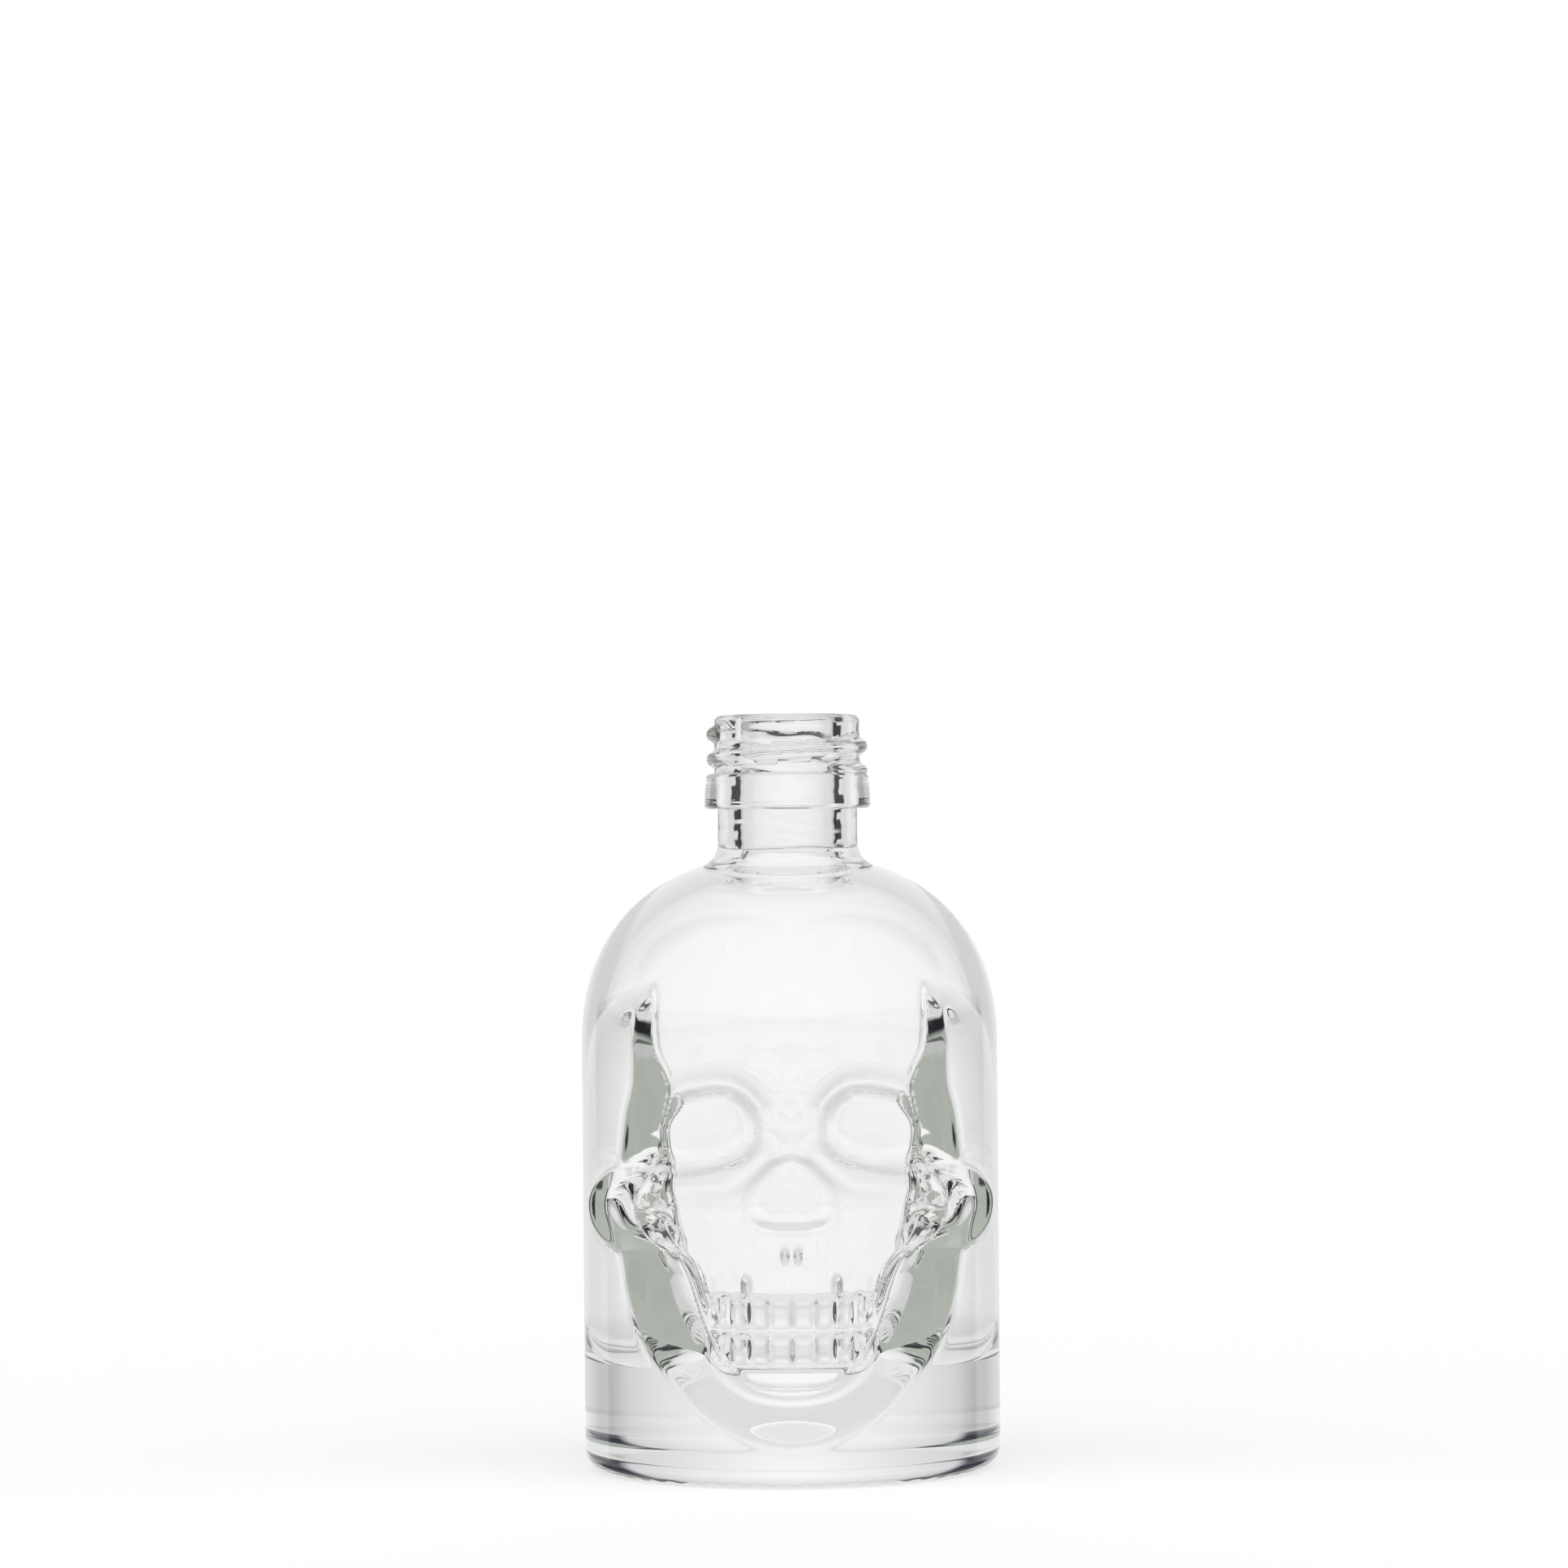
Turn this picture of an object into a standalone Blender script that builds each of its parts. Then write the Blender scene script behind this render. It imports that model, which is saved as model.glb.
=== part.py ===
# Clear glass bottle with a skull moulded into its front, open at the threaded mouth.
# Metres, +Z up, the face looks along -Y, and the bottle stands on z = 0 about the Z axis.
import math

import bpy
import numpy as np

# Body of revolution
HEIGHT = 0.0825
BODY_RADIUS = 0.0228
HEEL_FILLET_RADIUS = 0.0024
BEARING_WIDTH = 0.0028
PUNT_RISE = 0.0012
PUNT_SLOPE_RUN = 0.0024
BASE_THICKNESS = 0.0118
FLOOR_CORNER_RADIUS = 0.0045
WALL = 0.0022
SHOULDER_RISE = 0.0212
SHOULDER_FULLNESS = 2.32

# Neck and finish, the part that takes the cap
NECK_RADIUS = 0.00767
NECK_LENGTH = 0.0050
NECK_FILLET_RADIUS = 0.0026
FINISH_RADIUS = 0.0080
FINISH_LENGTH = 0.0064
FINISH_WALL = 0.00285
BORE_FLARE_RADIUS = 0.0030
LIP_FILLET_RADIUS = 0.0008
RING_LENGTH = 0.0039
RING_TOP_STEP = 0.00092
RING_FOOT_STEP = 0.00114
RING_FILLET_RADIUS = 0.0005

# Skull, seen from the front
CHIN_HEIGHT = 0.0107
FACE_HEIGHT = 0.0450
FACE_HALF_WIDTH = 0.0126
FACE_SETBACK = 0.0021
FACE_CURVE_RADIUS = 0.0185
JAW_CURVE_RADIUS = 0.0125
FOREHEAD_SLOPE = 0.30
FOREHEAD_SHARE = 0.69
JAW_CURVE_SHARES = (0.1, 0.45)
FACE_EDGE_RADIUS = 0.0006

# Pocket around the skull
POCKET_WIDTH = 0.0058
POCKET_ROUND = 0.0008
POCKET_RIM_ROUND = 0.0003
SKULL_DRAFT = math.radians(2.5)
CHIN_DRAFT = math.radians(38)
CHIN_DRAFT_SHARE = 0.12
POCKET_DRAFT = math.radians(54)

# Outlines from the chin upwards, as (height, half width) shares of the face's height and of the
# face's or the pocket's half width
SKULL_OUTLINE_SHARES = (
    (0.000, -0.22), (0.000, 0.00), (0.002, 0.22), (0.011, 0.37), (0.051, 0.55), (0.127, 0.72), (0.218, 0.83),
    (0.296, 0.91), (0.385, 0.98), (0.496, 1.05), (0.551, 1.09), (0.609, 1.09), (0.655, 1.04), (0.700, 1.01),
    (0.740, 1.06), (0.790, 1.14), (0.850, 1.16), (0.930, 1.16), (1.100, 1.18), (1.400, 1.20), (1.600, 1.20),
)
POCKET_OUTLINE_SHARES = (
    (-0.129, -0.15), (-0.136, 0.00), (-0.129, 0.15), (-0.109, 0.30), (-0.076, 0.45), (-0.030, 0.60),
    (0.034, 0.76), (0.110, 0.885), (0.202, 0.96), (0.300, 0.99), (0.430, 1.00), (0.540, 0.995), (0.640, 0.97),
    (0.711, 0.93), (0.800, 0.915), (0.850, 0.91), (0.893, 0.885), (0.925, 0.80), (0.945, 0.65), (0.958, 0.40),
    (0.962, 0.00), (0.962, -0.20),
)

# Cheekbone arch that crosses the pocket, and the rim's bulge round its end
ARCH_START_SHARES = (0.71, 0.411)
ARCH_SETBACK = 0.0060
ARCH_RADIUS = 0.0041
ARCH_GAP = 0.0051
ARCH_ROUND = 0.0012
BULGE_SHARE = 0.125

# Features of the face, at shares of its half width and height
BROW_SHARES = ((0.28, 0.668), (0.38, 0.698), (0.50, 0.717), (0.66, 0.722), (0.86, 0.712), (1.05, 0.690))
BROW_RISE = 0.0012
BROW_WIDTH = 0.0013
SOCKET_SHARES = (0.685, 0.606)
SOCKET_HALF_WIDTH = 0.0043
SOCKET_OUTER_HALF_WIDTH = 0.0068
SOCKET_HALF_HEIGHT = 0.0035
SOCKET_DEPTH = 0.0028
SOCKET_SLOPE = 0.0026
SOCKET_SQUARENESS = 2.7
SOCKET_TILT = math.radians(-13)
NASAL_BONE_SHARE = 0.60
NASAL_BONE_HALF_WIDTH = 0.0021
NASAL_BONE_HALF_HEIGHT = 0.0036
NASAL_BONE_RISE = 0.0009
NASAL_BASE_SHARE = 0.365
NASAL_TOP_SHARE = 0.556
NASAL_HALF_WIDTH = 0.0041
NASAL_WIDEST_SHARE = 0.35
NASAL_DEPTH = 0.0014
NASAL_SLOPE = 0.0030
CHEEK_SHARES = ((0.24, 0.544), (0.33, 0.520), (0.55, 0.471), (0.79, 0.464), (1.03, 0.460), (1.30, 0.450))
CHEEK_RISE = 0.0011
CHEEK_WIDTH = 0.0015
CHEEK_HOLLOW_SHARES = (0.78, 0.305)
CHEEK_HOLLOW_DEPTH = 0.0013
CHEEK_HOLLOW_SIZE = 0.0030
JAW_CREASE_SHARES = ((0.99, 0.322), (0.80, 0.282), (0.74, 0.250), (0.71, 0.211), (0.65, 0.180))
JAW_CREASE_DEPTH = 0.0007
JAW_CREASE_WIDTH = 0.0007

# Teeth, with half of each row's width shared out between five teeth
TEETH_HALF_WIDTH = 0.0088
TOOTH_EDGE_SHARES = (0.0, 0.267, 0.489, 0.699, 0.869, 1.0)
CHIN_TO_TEETH = 0.0022
LOWER_TOOTH_LENGTH = 0.0034
BITE_GAP = 0.0004
UPPER_TOOTH_LENGTH = 0.0036
TOOTH_RISE = 0.0007

# Cavity inside the skull: thin walls in front and at its sides, thick ones behind the pocket
INNER_RIDGE_SHARE = 0.2
INNER_HOLLOW_SHARE = 0.8
FACE_WALL = 0.0019
FLANK_WALL = 0.0007
INNER_EDGE_RADIUS = 0.0004
SIDE_WALL = 0.0018
SIDE_SETBACK = 0.0127
SIDE_SLOPE = 0.62
SIDE_TOP_SHARE = 0.81
SIDE_TOP_SLOPE = 1.2
SIDE_TOP_ROUND = 0.0030
INNER_ROUND = 0.0010

# Fineness of the faceted surface
OUTER_BACK_STEPS = 16
NECK_STEPS = 40
CHEEK_STEPS = 3
FLANK_STEPS = 4
POCKET_FLOOR_STEPS = 2
POCKET_WALL_STEPS = 3
SIDE_STEPS = 5
FACE_ROWS = 54
CROWD_WIDTH = 0.0018
CROWD_SHARE = 1.3
OUTLINE_FINENESS = 5
FILLET_STEPS = 4
SHOULDER_STEPS = 5
INNER_ROW = 0.0014
INNER_TURN_SHARES = (
    0.0, 0.04, 0.08, 0.12, 0.16, 0.19, 0.21, 0.23, 0.25, 0.27, 0.29, 0.31, 0.34, 0.37, 0.41, 0.45, 0.50, 0.56,
    0.63, 0.71, 0.80, 0.90, 1.0,
)
SECTION_SAMPLES = 240
LEAST_COLUMN_SHARE = 0.5
WIDE_COLUMN_SHARE = 0.85
COLUMN_TOP_SHARE = 0.83
WIDEST_COLUMN_SHARE = 0.98
FLANK_RUN_SHARE = 1.1
WALL_RUN_SHARE = 0.8

# Places worked out from the sizes above
BEARING_RADIUS = BODY_RADIUS - HEEL_FILLET_RADIUS
INNER_RADIUS = BODY_RADIUS - WALL
BORE_RADIUS = FINISH_RADIUS - FINISH_WALL
RING_TOP = HEIGHT - FINISH_LENGTH
RING_FOOT = RING_TOP - RING_LENGTH
SHOULDER_START = RING_FOOT - NECK_LENGTH - SHOULDER_RISE
FACE_FRONT = BODY_RADIUS - FACE_SETBACK
FACE_TOP = CHIN_HEIGHT + FACE_HEIGHT
POCKET_HALF_WIDTH = FACE_HALF_WIDTH + POCKET_WIDTH
ARCH_REACH = BODY_RADIUS - ARCH_SETBACK
BULGE_REACH = ARCH_REACH + ARCH_GAP
BULGE_RADIUS = ARCH_RADIUS + BULGE_SHARE * ARCH_GAP
LOWER_TEETH_BASE = CHIN_HEIGHT + CHIN_TO_TEETH
UPPER_TEETH_BASE = LOWER_TEETH_BASE + LOWER_TOOTH_LENGTH + BITE_GAP
FLANK_RUN = SIDE_SETBACK * math.tan(SKULL_DRAFT) * FLANK_RUN_SHARE
WALL_RUN = POCKET_WIDTH * WALL_RUN_SHARE


def smooth_step(value, low, high):
    """Rise from 0 to 1 between low and high."""
    part = np.clip((value - low) / (high - low), 0, 1)
    return part * part * (3 - 2 * part)


def soft_positive(value, width):
    """The value where it is positive and 0 where it is not, rounded over a width."""
    return width * np.logaddexp(0, value / width)


def blend_max(first, second, width):
    return first + soft_positive(second - first, width)


def blend_min(first, second, width):
    return first - soft_positive(first - second, width)


def smooth_path(points):
    """Points on a smooth curve through the given ones, whose two ends only steer it."""
    points = np.array(points)
    path = []
    for before, start, end, after in zip(points[:-3], points[1:-2], points[2:-1], points[3:]):
        for step in range(OUTLINE_FINENESS):
            t = step / OUTLINE_FINENESS
            bend = 2 * before - 5 * start + 4 * end - after
            twist = -before + 3 * start - 3 * end + after
            path.append(start + (t * (end - before) + t ** 2 * bend + t ** 3 * twist) / 2)
    path.append(points[-2])
    return np.array(path)


def face_point(width_share, height_share):
    return (width_share * FACE_HALF_WIDTH, CHIN_HEIGHT + height_share * FACE_HEIGHT)


def outline(shares, half_width):
    return smooth_path([(width * half_width, face_point(0, height)[1]) for height, width in shares])


def crest(shares):
    return np.array([face_point(*share) for share in shares])


def distance_to_path(x, z, path):
    nearest = np.full(np.shape(x), np.inf)
    for (ax, az), (bx, bz) in zip(path[:-1], path[1:]):
        length_squared = (bx - ax) ** 2 + (bz - az) ** 2
        along = ((x - ax) * (bx - ax) + (z - az) * (bz - az)) / length_squared
        along = np.clip(along, 0, 1)
        away = np.hypot(x - ax - along * (bx - ax), z - az - along * (bz - az))
        nearest = np.minimum(nearest, away)
    return nearest


def half_width_at(z, path):
    """Half width of an outline at a height, 0 above and below it."""
    return np.interp(z, path[:, 1], path[:, 0], left=0, right=0)


def outline_distance(x, z, path):
    """Distance outside an outline, negative inside it."""
    away = distance_to_path(x, z, path)
    return np.where(x < half_width_at(z, path), -away, away)


SKULL_PATH = outline(SKULL_OUTLINE_SHARES, FACE_HALF_WIDTH)
POCKET_PATH = outline(POCKET_OUTLINE_SHARES, POCKET_HALF_WIDTH)
ARCH_START, ARCH_HEIGHT = face_point(*ARCH_START_SHARES)


# Profiles of revolution, as (radius, height) points
def shoulder_height(radius):
    part = np.clip(radius / BODY_RADIUS, 0, 1)
    return SHOULDER_START + SHOULDER_RISE * (1 - part ** SHOULDER_FULLNESS) ** (1 / SHOULDER_FULLNESS)


def body_radius_at(z):
    """Outer radius of the body and its shoulder at a height."""
    rise = np.clip((z - SHOULDER_START) / SHOULDER_RISE, 0, 1)
    radius = BODY_RADIUS * (1 - rise ** SHOULDER_FULLNESS) ** (1 / SHOULDER_FULLNESS)
    drop = np.clip(HEEL_FILLET_RADIUS - z, 0, HEEL_FILLET_RADIUS)
    return radius - HEEL_FILLET_RADIUS + np.sqrt(HEEL_FILLET_RADIUS ** 2 - drop ** 2)


def arc(centre_radius, centre_height, arc_radius, start, end, steps):
    """Points of a profile's fillet between two angles in quarter turns."""
    points = []
    for angle in np.linspace(start, end, steps + 1) * math.pi / 2:
        across = arc_radius * math.cos(angle)
        points.append((centre_radius + across, centre_height + arc_radius * math.sin(angle)))
    return points


def shoulder_lean(radius):
    """Angle of the shoulder below the horizontal at a radius."""
    part = radius / BODY_RADIUS
    fall = part ** (SHOULDER_FULLNESS - 1) * (1 - part ** SHOULDER_FULLNESS) ** (1 / SHOULDER_FULLNESS - 1)
    return math.atan(SHOULDER_RISE / BODY_RADIUS * fall)


def neck_fillet():
    """The fillet that touches the shoulder and the neck, from the shoulder upwards."""
    centre_radius = NECK_RADIUS + NECK_FILLET_RADIUS
    touch = centre_radius
    for _ in range(10):
        lean = shoulder_lean(touch)
        touch = centre_radius - NECK_FILLET_RADIUS * math.sin(lean)
    centre_height = float(shoulder_height(touch)) + NECK_FILLET_RADIUS * math.cos(lean)
    return arc(centre_radius, centre_height, NECK_FILLET_RADIUS, -1 - lean / math.pi * 2, -2, FILLET_STEPS)


def finish_profile():
    """Outside of the neck and finish, from the shoulder's fillet to the lip."""
    foot_centre = FINISH_RADIUS + RING_FOOT_STEP - RING_FILLET_RADIUS
    top_centre = FINISH_RADIUS + RING_TOP_STEP - RING_FILLET_RADIUS
    lip_centre = FINISH_RADIUS - LIP_FILLET_RADIUS
    profile = neck_fillet()
    profile.append((NECK_RADIUS, RING_FOOT))
    profile += arc(foot_centre, RING_FOOT + RING_FILLET_RADIUS, RING_FILLET_RADIUS, -1, 0, 2)
    profile += arc(top_centre, RING_TOP - RING_FILLET_RADIUS, RING_FILLET_RADIUS, 0, 1, 2)
    profile.append((FINISH_RADIUS, RING_TOP))
    profile += arc(lip_centre, HEIGHT - LIP_FILLET_RADIUS, LIP_FILLET_RADIUS, 0, 1, 3)
    return profile


def inner_dome_height(radius):
    part = np.clip(radius / INNER_RADIUS, 0, 1)
    rise = SHOULDER_RISE - WALL
    return SHOULDER_START + rise * (1 - part ** SHOULDER_FULLNESS) ** (1 / SHOULDER_FULLNESS)


def bore_profile():
    """Inside of the lip and neck, from the lip down to the cavity's dome."""
    flare_end = BORE_RADIUS + BORE_FLARE_RADIUS
    flare_centre = float(inner_dome_height(flare_end)) + BORE_FLARE_RADIUS
    lip_centre = BORE_RADIUS + LIP_FILLET_RADIUS
    profile = arc(lip_centre, HEIGHT - LIP_FILLET_RADIUS, LIP_FILLET_RADIUS, 1, 2, 3)
    return profile + arc(flare_end, flare_centre, BORE_FLARE_RADIUS, 2, 3, FILLET_STEPS)


# Relief of the front: how far each surface stands in front of the axis
def socket_distance(x, z):
    """Distance outside the eye socket, a tilted rounded box, negative inside it."""
    centre_x, centre_z = face_point(*SOCKET_SHARES)
    away_x = (x - centre_x) * math.cos(SOCKET_TILT) + (z - centre_z) * math.sin(SOCKET_TILT)
    away_z = (z - centre_z) * math.cos(SOCKET_TILT) - (x - centre_x) * math.sin(SOCKET_TILT)
    half_width = np.where(away_x > 0, SOCKET_OUTER_HALF_WIDTH, SOCKET_HALF_WIDTH)
    across = np.abs(away_x / half_width) ** SOCKET_SQUARENESS
    up = np.abs(away_z / SOCKET_HALF_HEIGHT) ** SOCKET_SQUARENESS
    return ((across + up) ** (1 / SOCKET_SQUARENESS) - 1) * SOCKET_HALF_HEIGHT


def mound(away, width):
    return np.exp(-(away / width) ** 2)


def teeth_rise(x, z):
    edges = np.array(TOOTH_EDGE_SHARES) * TEETH_HALF_WIDTH
    rise = np.zeros(np.shape(x))
    for base, length in ((LOWER_TEETH_BASE, LOWER_TOOTH_LENGTH), (UPPER_TEETH_BASE, UPPER_TOOTH_LENGTH)):
        up = np.clip(np.abs((z - base) / length - 0.5) * 2, 0, 1)
        for inner, outer in zip(edges[:-1], edges[1:]):
            across = np.clip(np.abs(x - (inner + outer) / 2) / (outer - inner) * 2, 0, 1)
            rise = np.maximum(rise, TOOTH_RISE * (1 - across ** 4) * (1 - up ** 4))
    return rise


def nasal_half_width(z):
    """Half width of the pear-shaped nasal opening at a height."""
    base = face_point(0, NASAL_BASE_SHARE)[1]
    top = face_point(0, NASAL_TOP_SHARE)[1]
    part = (z - base) / (top - base)
    low = np.sqrt(np.clip(1 - (1 - part / NASAL_WIDEST_SHARE) ** 2, 0, 1))
    high = np.cos(np.clip((part - NASAL_WIDEST_SHARE) / (1 - NASAL_WIDEST_SHARE), 0, 1) * math.pi / 2)
    inside = (part > 0) & (part < 1)
    return NASAL_HALF_WIDTH * np.where(inside, np.where(part < NASAL_WIDEST_SHARE, low, high), 0)


def face_depth(x, z, ridges, hollows):
    """The face's surface, with shares of the height of its ridges and the depth of its hollows."""
    height_share = (z - CHIN_HEIGHT) / FACE_HEIGHT
    wider = smooth_step(height_share, *JAW_CURVE_SHARES)
    curve = JAW_CURVE_RADIUS + (FACE_CURVE_RADIUS - JAW_CURVE_RADIUS) * wider
    forehead = soft_positive(z - face_point(0, FOREHEAD_SHARE)[1], BROW_WIDTH)
    plain = FACE_FRONT + FOREHEAD_SLOPE * forehead - x ** 2 / (2 * curve)
    brow = BROW_RISE * mound(distance_to_path(x, z, crest(BROW_SHARES)), BROW_WIDTH)
    eye = SOCKET_DEPTH * (1 - smooth_step(socket_distance(x, z), -SOCKET_SLOPE / 2, SOCKET_SLOPE / 2))
    bone_height = (z - face_point(0, NASAL_BONE_SHARE)[1]) / NASAL_BONE_HALF_HEIGHT
    bone = NASAL_BONE_RISE * mound(x, NASAL_BONE_HALF_WIDTH) * np.exp(-bone_height ** 4)
    nasal_edge = x - nasal_half_width(z)
    nose = NASAL_DEPTH * (1 - smooth_step(nasal_edge, -NASAL_SLOPE / 2, NASAL_SLOPE / 2))
    nose = np.where(nasal_half_width(z) > 0, nose, 0)
    cheek = CHEEK_RISE * mound(distance_to_path(x, z, crest(CHEEK_SHARES)), CHEEK_WIDTH)
    hollow_x, hollow_z = face_point(*CHEEK_HOLLOW_SHARES)
    hollow = CHEEK_HOLLOW_DEPTH * mound(np.hypot(x - hollow_x, z - hollow_z), CHEEK_HOLLOW_SIZE)
    crease = JAW_CREASE_DEPTH * mound(distance_to_path(x, z, crest(JAW_CREASE_SHARES)), JAW_CREASE_WIDTH)
    return plain + ridges * (brow + bone + cheek) - hollows * (eye + nose + hollow + crease)


def flank_drop(edge, z, radius):
    """How far the skull's side has fallen at a distance outside its edge, which is rounded."""
    under_chin = 1 - smooth_step((z - CHIN_HEIGHT) / FACE_HEIGHT, 0, CHIN_DRAFT_SHARE)
    draft = SKULL_DRAFT + (CHIN_DRAFT - SKULL_DRAFT) * under_chin
    turn = np.clip(edge + radius, 0, radius * np.cos(draft))
    beyond = np.maximum(edge + radius - turn, 0)
    return radius - np.sqrt(radius ** 2 - turn ** 2) + beyond / np.tan(draft)


def arch_distance(x, z, reach, radius):
    """Distance outside the cheekbone arch, a bar with a round end."""
    beyond = np.clip(x, ARCH_START, reach - radius)
    return np.hypot(x - beyond, z - ARCH_HEIGHT) - radius


def rim_half_width(z):
    """Half width of the pocket's rim with its bulge round the arch's end."""
    lift = np.minimum(np.abs(z - ARCH_HEIGHT), BULGE_RADIUS)
    bulge = BULGE_REACH - BULGE_RADIUS + np.sqrt(BULGE_RADIUS ** 2 - lift ** 2)
    return np.maximum(half_width_at(z, POCKET_PATH), np.where(lift < BULGE_RADIUS, bulge, 0))


def side_face(x, z):
    """Flat side of the cavity behind the pocket, which turns forwards above it."""
    above = soft_positive(z - face_point(0, SIDE_TOP_SHARE)[1], SIDE_TOP_ROUND) * SIDE_TOP_SLOPE
    beyond = blend_max(x, FACE_HALF_WIDTH / 2, SIDE_TOP_ROUND) - FACE_HALF_WIDTH
    return FACE_FRONT - SIDE_SETBACK - SIDE_SLOPE * beyond + above


def pocket_depth(x, z):
    """The pocket round the skull: a straight slope in from its rim, above a floor."""
    rim = outline_distance(x, z, POCKET_PATH)
    rim = blend_min(rim, arch_distance(x, z, BULGE_REACH, BULGE_RADIUS), ARCH_ROUND)
    rim_depth = np.sqrt(np.maximum(body_radius_at(z) ** 2 - rim_half_width(z) ** 2, 0))
    wall = rim_depth + rim / math.tan(POCKET_DRAFT)
    return blend_max(np.minimum(wall, BODY_RADIUS * 2), side_face(x, z) + SIDE_WALL, POCKET_ROUND)


def outer_front(x, z):
    """Front surface of the glass at a side distance x and a height z."""
    x = np.abs(x)
    round_front = np.sqrt(np.maximum(body_radius_at(z) ** 2 - x ** 2, 0))
    edge = outline_distance(x, z, SKULL_PATH)
    edge = blend_min(edge, arch_distance(x, z, ARCH_REACH, ARCH_RADIUS), ARCH_ROUND)
    skull = face_depth(x, z, 1, 1) + teeth_rise(x, z) - flank_drop(edge, z, FACE_EDGE_RADIUS)
    front = blend_max(pocket_depth(x, z), skull, POCKET_ROUND)
    return np.clip(blend_min(round_front, front, POCKET_RIM_ROUND), 0, round_front)


def inner_front(x, z):
    """Front surface of the cavity, which widens from the skull back to the bottle's sides."""
    edge = outline_distance(x, z, SKULL_PATH) + FLANK_WALL
    face = face_depth(x, z, INNER_RIDGE_SHARE, INNER_HOLLOW_SHARE) - FACE_WALL
    skull = face - flank_drop(edge, z, INNER_EDGE_RADIUS)
    return blend_max(skull, side_face(x, z), INNER_ROUND)


def inner_radius_at(angles, z, radius):
    """The cavity's radius towards angles from the front, within a round section."""
    x = np.linspace(0, BODY_RADIUS, SECTION_SAMPLES)
    front = inner_front(x, np.full(len(x), z))
    angle = np.maximum.accumulate(np.arctan2(x, front))
    reach = np.interp(np.abs(angles), angle, np.hypot(x, front), right=BODY_RADIUS)
    return np.maximum(blend_min(reach, radius, POCKET_ROUND / 2), 0)


# Rings of points, each counterclockwise from the left side round the front
def spread(start, end, steps):
    return [start + (end - start) * step / steps for step in range(1, steps + 1)]


def column_anchors(z):
    """Half widths of the skull and of the pocket's rim that the columns follow at a height."""
    foot = POCKET_PATH[0, 1]
    least = np.interp(z, [HEEL_FILLET_RADIUS, foot], [WIDE_COLUMN_SHARE, LEAST_COLUMN_SHARE])
    z = min(z, face_point(0, COLUMN_TOP_SHARE)[1])
    rim = max(float(rim_half_width(z)), POCKET_HALF_WIDTH * least)
    skull = max(half_width_at(z, SKULL_PATH), rim * LEAST_COLUMN_SHARE)
    lift = abs(z - ARCH_HEIGHT)
    if lift < ARCH_RADIUS:
        skull = ARCH_REACH - ARCH_RADIUS + math.sqrt(ARCH_RADIUS ** 2 - lift ** 2)
    elif lift < BULGE_RADIUS:
        skull = np.interp(lift, [ARCH_RADIUS, BULGE_RADIUS], [ARCH_REACH - ARCH_RADIUS, skull])
    return skull, rim


def outer_columns(radius, z):
    """Side distances of the front's columns, which follow the teeth, the skull and the pocket."""
    skull, rim = column_anchors(z)
    edges = np.array(TOOTH_EDGE_SHARES) * TEETH_HALF_WIDTH
    squeeze = min(1, (skull - 2 * FACE_EDGE_RADIUS) / TEETH_HALF_WIDTH)
    columns = [0.0]
    for inner, outer in zip(edges[:-1], edges[1:]):
        columns += [squeeze * (inner + outer) / 2, squeeze * outer]
    flank = skull + FLANK_RUN
    wall = max(rim - WALL_RUN, flank + POCKET_ROUND)
    columns += spread(columns[-1], skull - FACE_EDGE_RADIUS, CHEEK_STEPS)
    columns += spread(skull - FACE_EDGE_RADIUS, flank, FLANK_STEPS)
    columns += spread(flank, wall, POCKET_FLOOR_STEPS)
    columns += spread(wall, max(rim, wall + POCKET_ROUND), POCKET_WALL_STEPS)
    return side_columns(columns, BODY_RADIUS, SIDE_STEPS) * radius / BODY_RADIUS


def side_columns(columns, radius, steps):
    """Carry columns on round the side of a circle, after drawing in any that would pass it."""
    columns = np.array(columns)
    columns *= min(1, WIDEST_COLUMN_SHARE * radius / columns[-1])
    start = math.asin(columns[-1] / radius)
    side = [radius * math.sin(angle) for angle in spread(start, math.pi / 2, steps)]
    return np.concatenate([columns, side])


def graded_rows(start, end, places, count):
    """Heights from start to end that crowd together near some places."""
    heights = np.linspace(start, end, count * 10)
    crowd = 1 + CROWD_SHARE * sum(mound(heights - place, CROWD_WIDTH) for place in places)
    total = np.cumsum(crowd) - crowd[0]
    return np.interp(np.arange(1, count + 1) / count * total[-1], total, heights)


def ring(columns, front, radius, z, back_steps):
    side = np.concatenate([-columns[:0:-1], columns])
    points = [(x, -y, z) for x, y in zip(side, front(side))]
    points[0] = (-radius, 0.0, z)
    points[-1] = (radius, 0.0, z)
    for step in range(1, back_steps):
        angle = math.pi * step / back_steps
        points.append((radius * math.cos(angle), radius * math.sin(angle), z))
    return points


def outer_ring(radius, z):
    def front(x):
        if radius <= BEARING_RADIUS or z > FACE_TOP:
            return np.sqrt(np.maximum(radius ** 2 - x ** 2, 0))
        return outer_front(x, np.full(len(x), z))

    return ring(outer_columns(radius, z), front, radius, z, OUTER_BACK_STEPS)


def inner_ring(radius, z):
    """Ring of the cavity, with its points crowded where the sides of the skull are."""
    turns = np.array(INNER_TURN_SHARES) * math.pi
    quarter = np.searchsorted(turns, math.pi / 2)
    angles = np.concatenate([-turns[quarter:0:-1], turns, -turns[-2:quarter:-1]])
    reach = inner_radius_at(angles, z, radius)
    return [(r * math.sin(angle), -r * math.cos(angle), z) for r, angle in zip(reach, angles)]


def round_ring(radius, z):
    points = []
    for step in range(NECK_STEPS):
        angle = 2 * math.pi * step / NECK_STEPS - math.pi
        points.append((radius * math.cos(angle), radius * math.sin(angle), z))
    return points


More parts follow.
